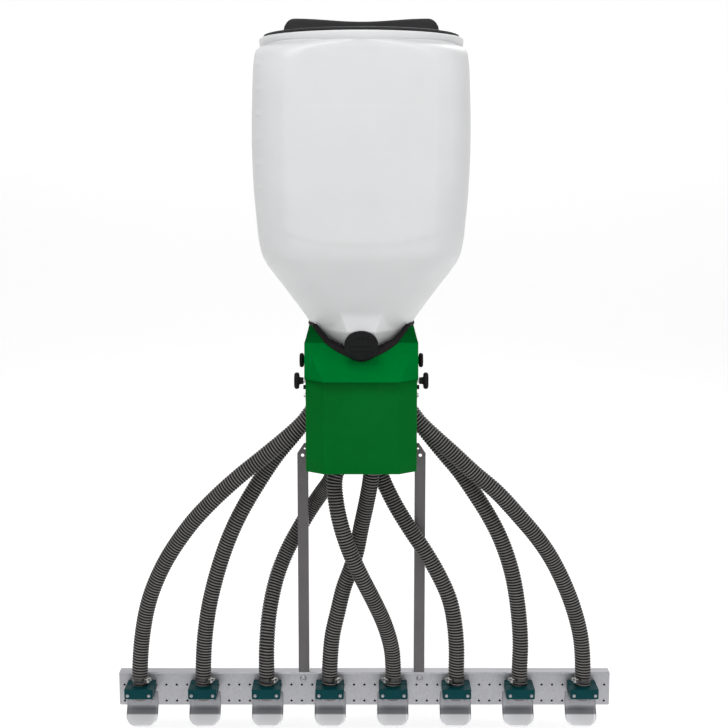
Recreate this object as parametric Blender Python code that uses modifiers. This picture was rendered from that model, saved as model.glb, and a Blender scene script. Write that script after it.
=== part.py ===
"""Pneumatic seed spreader: a 110 litre hopper stands on a metering unit, and a fan blows
the metered seed through eight hoses to outlets along a perforated bar.

Metres, +Z up, the front faces -Y. Every part is modelled in the machine's own frame, whose
Z axis is the hopper's axis, and hangs from an empty that puts the rear mounting face at Y = 0.
"""
import math

import bmesh
import bpy
from mathutils import Matrix, Vector

# Frame
MOUNT_BACK = 0.170  # from the hopper's axis back to the mounting face
GAP = 0.0003  # between pieces that touch
X_AXIS = Vector((1, 0, 0))
Y_AXIS = Vector((0, 1, 0))
Z_AXIS = Vector((0, 0, 1))

# Hopper: height, half width and corner radius of each cross-section, from the neck down
NECK_TOP = 0.840
NECK_RADIUS = 0.226
NECK_BORE = 0.198
NECK_FLANGE = 0.012
WALL = 0.004
SECTION_POINTS = 32
HOPPER_SECTIONS = [
    (NECK_TOP, NECK_RADIUS, NECK_RADIUS),
    (0.8205, NECK_RADIUS, NECK_RADIUS),
    (0.8165, 0.2266, 0.135),
    (0.8050, 0.2271, 0.101),
    (0.785, 0.2278, 0.092),
    (0.700, 0.2315, 0.085),
    (0.612, 0.2328, 0.085),
    (0.512, 0.2297, 0.085),
    (0.414, 0.2217, 0.085),
    (0.373, 0.2137, 0.086),
    (0.350, 0.2035, 0.090),
    (0.328, 0.1903, 0.100),
    (0.219, 0.1175, 0.105),
    (0.142, 0.0540, 0.054),
]
HOPPER_INSIDE = (1, 3, 5, 7, 9, 10, 11, 12, 14)  # outside sections that the inside repeats
THROAT_RADIUS = 0.050
THROAT_BOTTOM = 0.1303

# Lid and its seal
LID_RADIUS = 0.216
LID_UNDERSIDE = NECK_TOP + 0.0023
LID_THICKNESS = 0.006
PLUG_RADIUS = 0.1935
PLUG_BOTTOM = 0.815
GRIP_WIDTH = 0.050
GRIP_OUTLINE = [
    (-0.174, 0.846), (-0.170, 0.864), (-0.160, 0.878), (-0.146, 0.8835), (-0.100, 0.8805), (-0.050, 0.878),
    (0.0, 0.877),
    (0.050, 0.878), (0.100, 0.8805), (0.146, 0.8835), (0.160, 0.878), (0.170, 0.864), (0.174, 0.846),
]

# Drain neck, seal and screw cap, on an axis that points forward and down
DRAIN_TILT = math.radians(34)
DRAIN_AXIS = Vector((0, -math.cos(DRAIN_TILT), -math.sin(DRAIN_TILT)))
DRAIN_PLACE = Vector((0, -0.1208, 0.1785))  # middle of the cap's open end
DRAIN_NECK_RADIUS = 0.032
DRAIN_BORE = 0.026
DRAIN_NECK_END = 0.0155
CAP_RADIUS = 0.037
CAP_LENGTH = 0.022
CAP_FLOOR = 0.018

# Sheet-metal housing
SHEET = 0.002
HOOD_BOTTOM = 0.0935
HOOD_TOP = 0.175
HOOD_COLLAR_TOP = 0.212
HOOD_COLLAR_RADIUS = 0.117
HOOD_HALF = 0.127
HOOD_REAR = 0.1645
ARC_BOTTOM = 0.142
ARC_HALF = 0.0774
PLATE_IN, PLATE_OUT = 0.1185, 0.1215  # side plates
PLATE_FRONT, PLATE_REAR = -0.080, 0.1584
PLATE_TOP, PLATE_BOTTOM = 0.1735, -0.116
WINDOW_Y = (-0.064, 0.046)
WINDOW_Z = (-0.062, 0.034)
COVER_TOP = 0.0955
COVER_FRONT = -0.1185
COVER_HALF = 0.1245
COVER_PIVOT = Vector((0, -0.076, 0.0885))
UPPER_STUD = Vector((0, -0.030, 0.1285))
STUD_HOLE = 0.0046

# Mounting plate on the rear plate
MOUNT_HALF_X, MOUNT_HALF_Z = 0.080, 0.075
MOUNT_THICKNESS = 0.008
MOUNT_HOLES = (0.060, 0.050)

# Metering unit
METER_HALF_X, METER_HALF_Y = 0.057, 0.045
METER_BOTTOM, METER_TOP = 0.0515, 0.130
ROLLER_Z, AGITATOR_Z = 0.076, 0.116
ROLLER_RADIUS, ROLLER_SHAFT = 0.020, 0.005
ROLLER_HALF = 0.0515
ROLLER_FLUTES = 10
AGITATOR_SHAFT, AGITATOR_REACH = 0.004, 0.018
SHAFT_LEFT = -0.0745
GEAR_TEETH = 14
GEAR_PITCH = (AGITATOR_Z - ROLLER_Z) / 2
GEAR_X = (-0.0725, -0.0625)

# Outlet manifold with its eight spigots
MANIFOLD_TOP, MANIFOLD_BOTTOM = METER_BOTTOM - GAP, -0.062
MANIFOLD_WIDE, MANIFOLD_NARROW = 0.093, 0.068
MANIFOLD_SLANT_END = MANIFOLD_TOP - (MANIFOLD_WIDE - MANIFOLD_NARROW)
MANIFOLD_FRONT, MANIFOLD_REAR = -0.062, 0.056
SPIGOT_RADIUS, SPIGOT_BORE, SPIGOT_LENGTH = 0.0155, 0.013, 0.018

# Blower
FAN_Z = 0.040
SCROLL_RADIUS = 0.075
SCROLL_Y = (0.060, 0.105)
IMPELLER_RADIUS = 0.062
IMPELLER_Y = (0.068, 0.096)
IMPELLER_BLADES = 8

# Bar, struts and outlets
BAR_HALF_LENGTH = 0.5875
BAR_SHIFT = 0.007
BAR_FRONT, BAR_SHEET = 0.046, 0.003
BAR_TOP, BAR_BOTTOM = -0.6375, -0.718
BAR_FLANGE = 0.030
STRUT_IN, STRUT_OUT = 0.1255, 0.1505
STRUT_THICKNESS = 0.004
STRUT_FRONT = BAR_FRONT + BAR_SHEET + GAP
STRUT_TOP, STRUT_BOTTOM = -0.079, -0.705
OUTLETS_X = [-0.525, -0.375, -0.225, -0.075, 0.075, 0.225, 0.375, 0.525]
OUTLET_Y = 0.0175
CLAMP_SIZE = (0.067, 0.066, 0.0235)
CLAMP_TOP = -0.6585
PIPE_RADIUS = 0.0155
PIPE_BORE = 0.0135
PIPE_TOP, PIPE_BOTTOM = -0.643, -0.692
DEFLECTOR_WIDTH = 0.075
DEFLECTOR_SHEET = 0.0014
DEFLECTOR_TILT = math.radians(32)
DEFLECTOR_BEND = -0.7195
DEFLECTOR_LENGTH = 0.050
DEFLECTOR_CORNER = 0.026

# Hoses: where each leaves the manifold, which way, and the points its middle runs through
HOSE_RADIUS = 0.019
HOSE_POINTS = 13
SIDE_SPIGOT = (MANIFOLD_WIDE + MANIFOLD_NARROW) / 2, (MANIFOLD_TOP + MANIFOLD_SLANT_END) / 2
LEAN = math.radians(22)
HOSES = [
    ((-SIDE_SPIGOT[0], -0.040, SIDE_SPIGOT[1]), (-1, 0, -1), [
        (-0.151, -0.039, -0.032), (-0.215, -0.034, -0.087), (-0.285, -0.028, -0.145), (-0.351, -0.018, -0.208),
        (-0.403, -0.008, -0.268), (-0.461, 0.004, -0.357), (-0.499, 0.012, -0.447), (-0.518, 0.017, -0.537)]),
    ((-SIDE_SPIGOT[0], 0.024, SIDE_SPIGOT[1]), (-1, 0, -1), [
        (-0.147, 0.022, -0.041), (-0.195, 0.020, -0.099), (-0.233, 0.019, -0.155), (-0.286, 0.018, -0.246),
        (-0.323, 0.018, -0.333), (-0.356, 0.018, -0.449), (-0.370, 0.0175, -0.537)]),
    ((-0.036, 0.020, MANIFOLD_BOTTOM), (-math.sin(LEAN), 0, -math.cos(LEAN)), [
        (-0.071, 0.044, -0.163), (-0.094, 0.078, -0.203), (-0.118, 0.099, -0.243), (-0.148, 0.103, -0.295),
        (-0.178, 0.099, -0.350), (-0.203, 0.078, -0.412), (-0.219, 0.045, -0.487), (-0.2245, 0.022, -0.560)]),
    ((0.024, -0.040, MANIFOLD_BOTTOM), (0, 0, -1), [
        (0.021, -0.034, -0.148), (0.011, -0.020, -0.208), (-0.001, -0.006, -0.268), (-0.012, 0.003, -0.328),
        (-0.026, 0.008, -0.373), (-0.042, 0.013, -0.418), (-0.056, 0.016, -0.478), (-0.069, 0.0175, -0.537)]),
    ((-0.048, -0.040, MANIFOLD_BOTTOM), (0, 0, -1), [
        (-0.061, -0.046, -0.145), (-0.057, -0.050, -0.200), (-0.045, -0.050, -0.257), (-0.026, -0.046, -0.315),
        (-0.001, -0.037, -0.374), (0.028, -0.021, -0.437), (0.054, -0.002, -0.501), (0.071, 0.012, -0.565)]),
    ((0.012, 0.020, MANIFOLD_BOTTOM), (math.sin(LEAN), 0, -math.cos(LEAN)), [
        (0.050, 0.020, -0.160), (0.078, 0.020, -0.218), (0.112, 0.020, -0.275), (0.150, 0.020, -0.333),
        (0.183, 0.020, -0.391), (0.208, 0.019, -0.449), (0.220, 0.018, -0.508), (0.225, 0.0175, -0.567)]),
    ((SIDE_SPIGOT[0], 0.024, SIDE_SPIGOT[1]), (1, 0, -1), [
        (0.147, 0.022, -0.041), (0.194, 0.020, -0.099), (0.229, 0.019, -0.141), (0.262, 0.019, -0.189),
        (0.298, 0.018, -0.246), (0.327, 0.018, -0.3035), (0.353, 0.018, -0.380), (0.368, 0.018, -0.460),
        (0.376, 0.0175, -0.550)]),
    ((SIDE_SPIGOT[0], -0.040, SIDE_SPIGOT[1]), (1, 0, -1), [
        (0.151, -0.039, -0.032), (0.212, -0.034, -0.088), (0.256, -0.030, -0.130), (0.311, -0.024, -0.178),
        (0.364, -0.016, -0.237), (0.413, -0.006, -0.297), (0.451, 0.004, -0.357), (0.492, 0.012, -0.447),
        (0.518, 0.017, -0.537)]),
]

# Colours: colour, roughness, metallic
WHITE = ((0.78, 0.78, 0.77), 0.45, 0.0)
DARK_PLASTIC = ((0.035, 0.035, 0.038), 0.55, 0.0)
RUBBER = ((0.02, 0.02, 0.02), 0.8, 0.0)
GREEN = ((0.0, 0.16, 0.035), 0.4, 0.0)
ZINC = ((0.45, 0.45, 0.44), 0.45, 0.9)
STEEL = ((0.6, 0.6, 0.6), 0.3, 1.0)
TEAL = ((0.01, 0.10, 0.09), 0.45, 0.0)
GREY_PLASTIC = ((0.25, 0.25, 0.26), 0.5, 0.0)
HOSE_GREY = ((0.045, 0.04, 0.04), 0.5, 0.0)


def clear_scene():
    for old in list(bpy.data.objects):
        bpy.data.objects.remove(old, do_unlink=True)


def new_collection(name, hidden):
    group = bpy.data.collections.new(name)
    bpy.context.scene.collection.children.link(group)
    group.hide_render = hidden
    return group


def material(name, look):
    colour, roughness, metallic = look
    mat = bpy.data.materials.new(name)
    mat.use_nodes = True
    shader = mat.node_tree.nodes["Principled BSDF"]
    shader.inputs["Base Color"].default_value = (*colour, 1)
    shader.inputs["Roughness"].default_value = roughness
    shader.inputs["Metallic"].default_value = metallic
    mat.diffuse_color = (*colour, 1)
    return mat


class Machine:
    """Keeps the collections and the empty that every object hangs from."""

    def __init__(self):
        self.parts = new_collection("seed_spreader", False)
        self.cutters = new_collection("cutters", True)
        self.frame = bpy.data.objects.new("machine_frame", None)
        self.frame.location = (0, -MOUNT_BACK, 0)
        self.parts.objects.link(self.frame)

    def part(self, obj, name, look):
        obj.name = name
        obj.data.name = name
        self.parts.objects.link(obj)
        obj.parent = self.frame
        obj.data.materials.clear()
        obj.data.materials.append(material(name, look))
        if obj.type == "MESH":
            obj.data.shade_smooth()
            obj.data.set_sharp_from_angle(angle=math.radians(35))
        return obj

    def tool(self, obj):
        obj.name = "tool"
        self.cutters.objects.link(obj)
        obj.parent = self.frame
        obj.hide_render = True
        obj.display_type = "WIRE"
        return obj

    def boolean(self, obj, tool, operation):
        if tool.name not in self.cutters.objects:
            self.tool(tool)
        step = obj.modifiers.new(operation.lower(), "BOOLEAN")
        step.object = tool
        step.operation = operation
        step.solver = "EXACT"

    def cut(self, obj, *tools):
        for tool in tools:
            self.boolean(obj, tool, "DIFFERENCE")

    def join(self, obj, *tools):
        for tool in tools:
            self.boolean(obj, tool, "UNION")


def mesh_object(bm, name="shape"):
    mesh = bpy.data.meshes.new(name)
    bm.to_mesh(mesh)
    bm.free()
    return bpy.data.objects.new(name, mesh)


def box(low, high):
    low, high = Vector(low), Vector(high)
    bm = bmesh.new()
    bmesh.ops.create_cube(bm, size=1)
    size = high - low
    bmesh.ops.transform(bm, matrix=Matrix.Translation((low + high) / 2) @ Matrix.Diagonal((*size, 1)), verts=bm.verts)
    return mesh_object(bm)


def cylinders(rods, radius, segments=32):
    """Straight rods in one mesh, each from its first point to its second."""
    bm = bmesh.new()
    for start, end in rods:
        start, end = Vector(start), Vector(end)
        turn = (end - start).to_track_quat("Z", "Y").to_matrix().to_4x4()
        place = Matrix.Translation((start + end) / 2) @ turn
        bmesh.ops.create_cone(bm, cap_ends=True, segments=segments, radius1=radius, radius2=radius,
                              depth=(end - start).length, matrix=place)
    return mesh_object(bm)


def turned(profile, steps=32, axis=Z_AXIS, place=(0, 0, 0)):
    """A profile of (radius, height) points, down its outer side, turned about its axis."""
    bm = bmesh.new()
    points = [bm.verts.new((radius, 0, height)) for radius, height in profile]
    for first, second in zip(points, points[1:]):
        bm.edges.new((first, second))
    obj = mesh_object(bm)
    screw = obj.modifiers.new("turn", "SCREW")
    screw.axis = "Z"
    screw.steps = steps
    screw.render_steps = steps
    screw.use_merge_vertices = True
    screw.merge_threshold = 0.00001
    obj.rotation_mode = "QUATERNION"
    obj.rotation_quaternion = Vector(axis).to_track_quat("Z", "Y")
    obj.location = place
    return obj


def ring(outer, inner, low, high, steps=48, **where):
    """A flat ring with a rectangular section."""
    profile = [(inner, high), (outer, high), (outer, low), (inner, low), (inner, high)]
    return turned(profile, steps, **where)


def outline(points, low, high, normal="Z"):
    """A flat closed outline made thick between two heights along its normal.

    Points are (x, y) for Z, (x, z) for Y and (y, z) for X.
    """
    curve = bpy.data.curves.new("outline", "CURVE")
    curve.dimensions = "2D"
    curve.fill_mode = "BOTH"
    curve.extrude = (high - low) / 2
    spline = curve.splines.new("POLY")
    spline.points.add(len(points) - 1)
    for point, (u, v) in zip(spline.points, points):
        point.co = (u, v, 0, 1)
    spline.use_cyclic_u = True
    middle = (low + high) / 2
    turns = {
        "Z": Matrix.Translation((0, 0, middle)),
        "Y": Matrix.Translation((0, middle, 0)) @ Matrix.Rotation(math.pi / 2, 4, "X"),
        "X": Matrix(((0, 0, 1, middle), (1, 0, 0, 0), (0, 1, 0, 0), (0, 0, 0, 1))),
    }
    return as_mesh(bpy.data.objects.new("outline", curve), turns[normal])


def as_mesh(curve_object, place):
    """The closed mesh of a curve, with its caps welded and its faces pointing out."""
    bpy.context.scene.collection.objects.link(curve_object)
    graph = bpy.context.evaluated_depsgraph_get()
    mesh = bpy.data.meshes.new_from_object(curve_object.evaluated_get(graph))
    bpy.data.objects.remove(curve_object)
    bm = bmesh.new()
    bm.from_mesh(mesh)
    bmesh.ops.remove_doubles(bm, verts=bm.verts, dist=0.00001)
    bmesh.ops.transform(bm, matrix=place, verts=bm.verts)
    bmesh.ops.recalc_face_normals(bm, faces=bm.faces)
    bpy.data.meshes.remove(mesh)
    return mesh_object(bm)


def loft(rings, closed_ends=True):
    """Quads between rings of equally many points, the first ring highest and seen
    anticlockwise from above, so that the faces point out."""
    bm = bmesh.new()
    loops = [[bm.verts.new(point) for point in points] for points in rings]
    count = len(loops[0])
    for upper, lower in zip(loops, loops[1:]):
        for i in range(count):
            j = (i + 1) % count
            bm.faces.new((upper[i], lower[i], lower[j], upper[j]))
    if closed_ends:
        bm.faces.new(loops[0])
        bm.faces.new(list(reversed(loops[-1])))
    return mesh_object(bm)


def strip(points, low, high):
    """An upright open surface along plan points."""
    bm = bmesh.new()
    lower = [bm.verts.new((x, y, low)) for x, y in points]
    upper = [bm.verts.new((x, y, high)) for x, y in points]
    for i in range(len(points) - 1):
        bm.faces.new((lower[i], lower[i + 1], upper[i + 1], upper[i]))
    return mesh_object(bm)


def thicken(obj, thickness):
    """Gives an open surface a thickness behind its faces."""
    step = obj.modifiers.new("thickness", "SOLIDIFY")
    step.thickness = thickness
    step.offset = -1
    step.use_even_offset = True


def soften(obj, width, segments=2):
    step = obj.modifiers.new("bevel", "BEVEL")
    step.width = width
    step.segments = segments
    step.limit_method = "ANGLE"
    step.angle_limit = math.radians(40)


def set_origin(obj, origin):
    """Moves an object's origin to a point of the machine's frame, its shape staying put."""
    obj.data.transform(Matrix.Translation(-Vector(origin)))
    obj.location = origin


def rounded_square(half, corner, angle):
    """Distance from the middle to the edge of a rounded square in one direction."""
    folded = abs((angle + math.pi / 4) % (math.pi / 2) - math.pi / 4)
    inner = half - corner
    if half * math.tan(folded) <= inner:
        return half / math.cos(folded)
    across = inner * (math.cos(folded) - math.sin(folded))
    return inner * (math.cos(folded) + math.sin(folded)) + math.sqrt(max(corner**2 - across**2, 0))


def section(height, half, corner):
    points = []
    for i in range(SECTION_POINTS):
        angle = 2 * math.pi * i / SECTION_POINTS
        reach = rounded_square(half, corner, angle)
        points.append((reach * math.cos(angle), reach * math.sin(angle), height))
    return points


def mirror_x(points):
    return [(-x, *rest) for x, *rest in reversed(points)]


def make_hopper(machine):
    outside = HOPPER_SECTIONS + [(0.134, THROAT_RADIUS, THROAT_RADIUS), (THROAT_BOTTOM, THROAT_RADIUS, THROAT_RADIUS)]
    kept = [s for i, s in enumerate(outside) if i in HOPPER_INSIDE]
    inside = [(z, half - WALL, corner - WALL) for z, half, corner in kept]
    inside.insert(0, (NECK_TOP - NECK_FLANGE, NECK_RADIUS - WALL, NECK_RADIUS - WALL))
    inside.append((THROAT_BOTTOM - 0.01, THROAT_RADIUS - WALL, THROAT_RADIUS - WALL))
    hopper = machine.part(loft([section(*s) for s in outside]), "hopper", WHITE)
    boss = loft([
        [(0.046, -0.09, 0.252), (-0.046, -0.09, 0.252), (-0.046, -0.1345, 0.252), (0.046, -0.1345, 0.252)],
        [(0.036, -0.07, 0.192), (-0.036, -0.07, 0.192), (-0.036, -0.1375, 0.205), (0.036, -0.1375, 0.205)],
    ])
    neck_start = DRAIN_PLACE - 0.055 * DRAIN_AXIS
    neck_end = DRAIN_PLACE + DRAIN_NECK_END * DRAIN_AXIS
    machine.join(hopper, boss, cylinders([(neck_start, neck_end)], DRAIN_NECK_RADIUS))
    bore_start = DRAIN_PLACE - 0.075 * DRAIN_AXIS
    bore_end = DRAIN_PLACE + 0.03 * DRAIN_AXIS
    machine.cut(
        hopper,
        loft([section(*s) for s in inside]),
        cylinders([((0, 0, NECK_TOP - 2 * NECK_FLANGE), (0, 0, NECK_TOP + 0.02))], NECK_BORE, SECTION_POINTS),
        cylinders([(bore_start, bore_end)], DRAIN_BORE),
    )


def make_lid(machine):
    top = LID_UNDERSIDE + LID_THICKNESS
    shell = [
        (0, top), (0.206, top), (LID_RADIUS, top - 0.002), (LID_RADIUS, LID_UNDERSIDE), (PLUG_RADIUS, LID_UNDERSIDE),
        (PLUG_RADIUS, PLUG_BOTTOM), (PLUG_RADIUS - 0.004, PLUG_BOTTOM), (PLUG_RADIUS - 0.004, top - 0.004),
        (0, top - 0.004),
    ]
    lid = machine.part(turned(shell, 40), "lid", DARK_PLASTIC)
    machine.join(lid, outline(GRIP_OUTLINE, -GRIP_WIDTH / 2, GRIP_WIDTH / 2, "Y"))
    seal_low = NECK_TOP + GAP
    seal = ring(0.2140, 0.1985, seal_low, LID_UNDERSIDE - GAP, 40)
    machine.part(seal, "lid_seal", RUBBER)


def make_drain(machine):
    where = {"axis": DRAIN_AXIS, "place": DRAIN_PLACE}
    cap = turned([
        (0, CAP_LENGTH), (CAP_RADIUS - 0.003, CAP_LENGTH), (CAP_RADIUS, CAP_LENGTH - 0.003), (CAP_RADIUS, 0),
        (DRAIN_NECK_RADIUS + 0.0005, 0), (DRAIN_NECK_RADIUS + 0.0005, CAP_FLOOR), (0, CAP_FLOOR),
    ], 24, **where)
    machine.part(cap, "drain_cap", DARK_PLASTIC)
    seal = ring(DRAIN_NECK_RADIUS - 0.0005, 0.022, DRAIN_NECK_END + GAP, CAP_FLOOR - GAP, 24, **where)
    machine.part(seal, "drain_seal", RUBBER)


def subdivided(corners, counts, height):
    """The closed outline through the corners, each side split into its count."""
    points = []
    for i, count in enumerate(counts):
        (x0, y0), (x1, y1) = corners[i], corners[(i + 1) % len(corners)]
        for k in range(count):
            part = k / count
            points.append((x0 + (x1 - x0) * part, y0 + (y1 - y0) * part, height))
    return points


def arc_cut_outline():
    """The hood's front notch: a hollow under the drain cap whose sides then open along the hopper."""
    hollow = []
    for i in range(13):
        part = -1 + i / 6
        hollow.append((part * ARC_HALF, ARC_BOTTOM + (HOOD_TOP - ARC_BOTTOM) * abs(part) ** 1.6))
    return hollow + [(0.1073, HOOD_COLLAR_TOP), (0.119, 0.250), (-0.119, 0.250), (-0.1073, HOOD_COLLAR_TOP)]


def make_hood(machine):
    counts = [8, 1, 10, 1, 8, 8]
    lip = [(-HOOD_HALF, HOOD_REAR), (-HOOD_HALF, -0.0885), (-0.084, -0.1325),
           (0.084, -0.1325), (HOOD_HALF, -0.0885), (HOOD_HALF, HOOD_REAR)]
    shoulder = [(-0.1265, HOOD_REAR), (-0.1265, -0.0873), (-0.1235, -0.0875),
                (0.1235, -0.0875), (0.1265, -0.0873), (0.1265, HOOD_REAR)]
    upper = subdivided(shoulder, counts, HOOD_TOP)
    collar = []
    for x, y, _ in upper:
        angle = math.atan2(y, x)
        collar.append((HOOD_COLLAR_RADIUS * math.cos(angle), HOOD_COLLAR_RADIUS * math.sin(angle), HOOD_COLLAR_TOP))
    hood = machine.part(loft([collar, upper, subdivided(lip, counts, HOOD_BOTTOM)], False), "hood", GREEN)
    thicken(hood, SHEET)
    machine.cut(hood, outline(arc_cut_outline(), -0.20, -0.012, "Y"), stud_holes(UPPER_STUD))


def stud_holes(stud):
    """One rod through both sides of the housing, for a pair of knobs."""
    reach = Vector((0.2, 0, 0))
    return cylinders([(stud - reach, stud + reach)], STUD_HOLE, 16)


def make_front_cover(machine):
    plan = [(-COVER_HALF, -0.066), (-COVER_HALF, -0.0865), (-0.084, COVER_FRONT)]
    cover = strip(plan + mirror_x(plan), PLATE_BOTTOM, COVER_TOP)
    set_origin(machine.part(cover, "front_cover", GREEN), COVER_PIVOT)
    thicken(cover, SHEET)
    machine.cut(cover, stud_holes(COVER_PIVOT))


def make_plates(machine):
    for side, name in ((-1, "side_plate_left"), (1, "side_plate_right")):
        near, far = sorted((side * PLATE_IN, side * PLATE_OUT))
        plate = box((near, PLATE_FRONT, PLATE_BOTTOM), (far, PLATE_REAR, PLATE_TOP))
        machine.part(plate, name, GREEN)
        window = box((near - 0.01, WINDOW_Y[0], WINDOW_Z[0]), (far + 0.01, WINDOW_Y[1], WINDOW_Z[1]))
        machine.cut(plate, window, stud_holes(COVER_PIVOT), stud_holes(UPPER_STUD))
    rear_front = PLATE_REAR + GAP
    rear = box((-PLATE_OUT, rear_front, PLATE_BOTTOM), (PLATE_OUT, rear_front + 0.003, PLATE_TOP))
    machine.part(rear, "rear_plate", GREEN)
    mount = box((-MOUNT_HALF_X, MOUNT_BACK - MOUNT_THICKNESS, -MOUNT_HALF_Z), (MOUNT_HALF_X, MOUNT_BACK, MOUNT_HALF_Z))
    machine.part(mount, "mounting_plate", ZINC)
    x, z = MOUNT_HOLES
    rods = [((sx * x, 0.15, sz * z), (sx * x, 0.19, sz * z)) for sx in (-1, 1) for sz in (-1, 1)]
    machine.cut(mount, cylinders(rods, 0.0055, 12))


def make_knob(machine, name, stud, side, radius, disc):
    """A clamping knob with its stud, turned about an axis that points outwards."""
    near, far = disc
    centre = 0.117
    profile = [
        (0, far), (radius - 0.003, far), (radius, far - 0.003), (radius, near + 0.002), (radius - 0.002, near),
        (0.0085, near), (0.0065, near - 0.002), (0.0042, near - 0.002), (0.0042, centre), (0, centre),
    ]
    machine.part(turned(profile, 16, side * X_AXIS, stud), name, DARK_PLASTIC)


def make_knobs(machine):
    for side, word in ((-1, "left"), (1, "right")):
        make_knob(machine, f"cover_knob_{word}", COVER_PIVOT, side, 0.0195, (0.1385, 0.1495))
        make_knob(machine, f"hood_knob_{word}", UPPER_STUD, side, 0.0170, (0.1300, 0.1395))


def make_metering_housing(machine):
    low, high = (-METER_HALF_X, -METER_HALF_Y, METER_BOTTOM), (METER_HALF_X, METER_HALF_Y, METER_TOP)
    housing = machine.part(box(low, high), "metering_housing", GREY_PLASTIC)
    wall = 0.005
    cavity = box((-METER_HALF_X + wall, -METER_HALF_Y + wall, METER_BOTTOM + 0.003),
                 (METER_HALF_X - wall, METER_HALF_Y - wall, METER_TOP - wall))
    inlet = cylinders([((0, 0, METER_TOP - 0.02), (0, 0, METER_TOP + 0.01))], THROAT_RADIUS - WALL)
    slot = box((-0.048, -0.012, METER_BOTTOM - 0.01), (0.048, 0.012, METER_BOTTOM + 0.01))
    machine.cut(housing, cavity, inlet, slot,
                cylinders([((-0.1, 0, ROLLER_Z), (0.1, 0, ROLLER_Z))], ROLLER_SHAFT + 0.0005, 16),
                cylinders([((-0.1, 0, AGITATOR_Z), (0.1, 0, AGITATOR_Z))], AGITATOR_SHAFT + 0.0005, 16))


def toothed(teeth, root, tip, root_share, tip_share, offset=0.0):
    """A wheel outline: each tooth takes a share of its pitch at its root and at its tip."""
    points = []
    for i in range(teeth):
        middle = 2 * math.pi * (i + offset) / teeth
        for radius, share in ((root, -root_share), (tip, -tip_share), (tip, tip_share), (root, root_share)):
            angle = middle + share * math.pi / teeth
            points.append((radius * math.cos(angle), radius * math.sin(angle)))
    return points


def on_shaft(points, centre_z, span):
    """A wheel outline set across a shaft along X."""
    return outline([(y, z + centre_z) for y, z in points], *span, "X")


def make_rotors(machine):
    drum = on_shaft(toothed(ROLLER_FLUTES, ROLLER_RADIUS - 0.005, ROLLER_RADIUS, 0.5, 0.4),
                    ROLLER_Z, (-ROLLER_HALF, ROLLER_HALF))
    set_origin(machine.part(drum, "metering_roller", GREY_PLASTIC), (0, 0, ROLLER_Z))
    machine.join(drum, cylinders([((SHAFT_LEFT, 0, ROLLER_Z), (0.0695, 0, ROLLER_Z))], ROLLER_SHAFT, 16))
    shaft = cylinders([((SHAFT_LEFT, 0, AGITATOR_Z), (0.060, 0, AGITATOR_Z))], AGITATOR_SHAFT, 16)
    set_origin(machine.part(shaft, "agitator", STEEL), (0, 0, AGITATOR_Z))
    for i, x in enumerate((-0.030, -0.010, 0.010, 0.030)):
        angle = i * math.pi / 2 + math.pi / 4
        tip = AGITATOR_REACH * Vector((0, math.cos(angle), math.sin(angle)))
        middle = Vector((x, 0, AGITATOR_Z))
        machine.join(shaft, cylinders([(middle - tip, middle + tip)], 0.002, 8))
    half_tooth = 0.5
    quarter = GEAR_TEETH / 4
    for name, z, radius, turn in (
        ("roller_gear", ROLLER_Z, ROLLER_SHAFT, quarter),
        ("agitator_gear", AGITATOR_Z, AGITATOR_SHAFT, quarter + half_tooth),
    ):
        teeth = toothed(GEAR_TEETH, GEAR_PITCH - 0.0030, GEAR_PITCH + 0.0022, 0.62, 0.24, turn)
        gear = on_shaft(teeth, z, GEAR_X)
        set_origin(machine.part(gear, name, GREY_PLASTIC), (0, 0, z))
        machine.cut(gear, cylinders([((-0.1, 0, z), (0, 0, z))], radius + GAP, 16))


def make_gear_motor(machine):
    gearbox = cylinders([((0.0590, 0, ROLLER_Z), (0.0785, 0, ROLLER_Z))], 0.022)
    machine.part(gearbox, "gear_motor", STEEL)
    machine.join(gearbox, cylinders([((0.0780, 0, ROLLER_Z), (0.1165, 0, ROLLER_Z))], 0.0175))
    machine.cut(gearbox, cylinders([((0.050, 0, ROLLER_Z), (0.0700, 0, ROLLER_Z))], ROLLER_SHAFT + GAP, 16))


def hose_start(index):
    """The spigot's end, where the hose's own solid begins, and the way it points."""
    base, way, _ = HOSES[index]
    way = Vector(way).normalized()
    return Vector(base) + SPIGOT_LENGTH * way, way


def make_manifold(machine):
    def body_outline(inset):
        half = [(MANIFOLD_WIDE - 2 * inset, MANIFOLD_TOP - inset), (MANIFOLD_NARROW - inset, MANIFOLD_SLANT_END),
                (MANIFOLD_NARROW - inset, MANIFOLD_BOTTOM + inset)]
        return half + mirror_x(half)

    wall = 0.003
    manifold = machine.part(outline(body_outline(0), MANIFOLD_FRONT, MANIFOLD_REAR, "Y"), "outlet_manifold", GREY_PLASTIC)
    tubes, bores = [], []
    for index in range(len(HOSES)):
        end, way = hose_start(index)
        tubes.append((end - (SPIGOT_LENGTH + 0.002) * way, end))
        bores.append((end - (SPIGOT_LENGTH + 0.008) * way, end + 0.01 * way))
    machine.join(manifold, cylinders(tubes, SPIGOT_RADIUS, 14))
    cavity = outline(body_outline(wall), MANIFOLD_FRONT + wall, MANIFOLD_REAR - wall, "Y")
    slot = box((-0.048, -0.012, MANIFOLD_TOP - 0.01), (0.048, 0.012, MANIFOLD_TOP + 0.01))
    air = box((-0.025, MANIFOLD_REAR - 0.01, -0.045), (0.025, MANIFOLD_REAR + 0.01, -0.005))
    machine.cut(manifold, cavity, slot, air, cylinders(bores, SPIGOT_BORE, 14))


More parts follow.
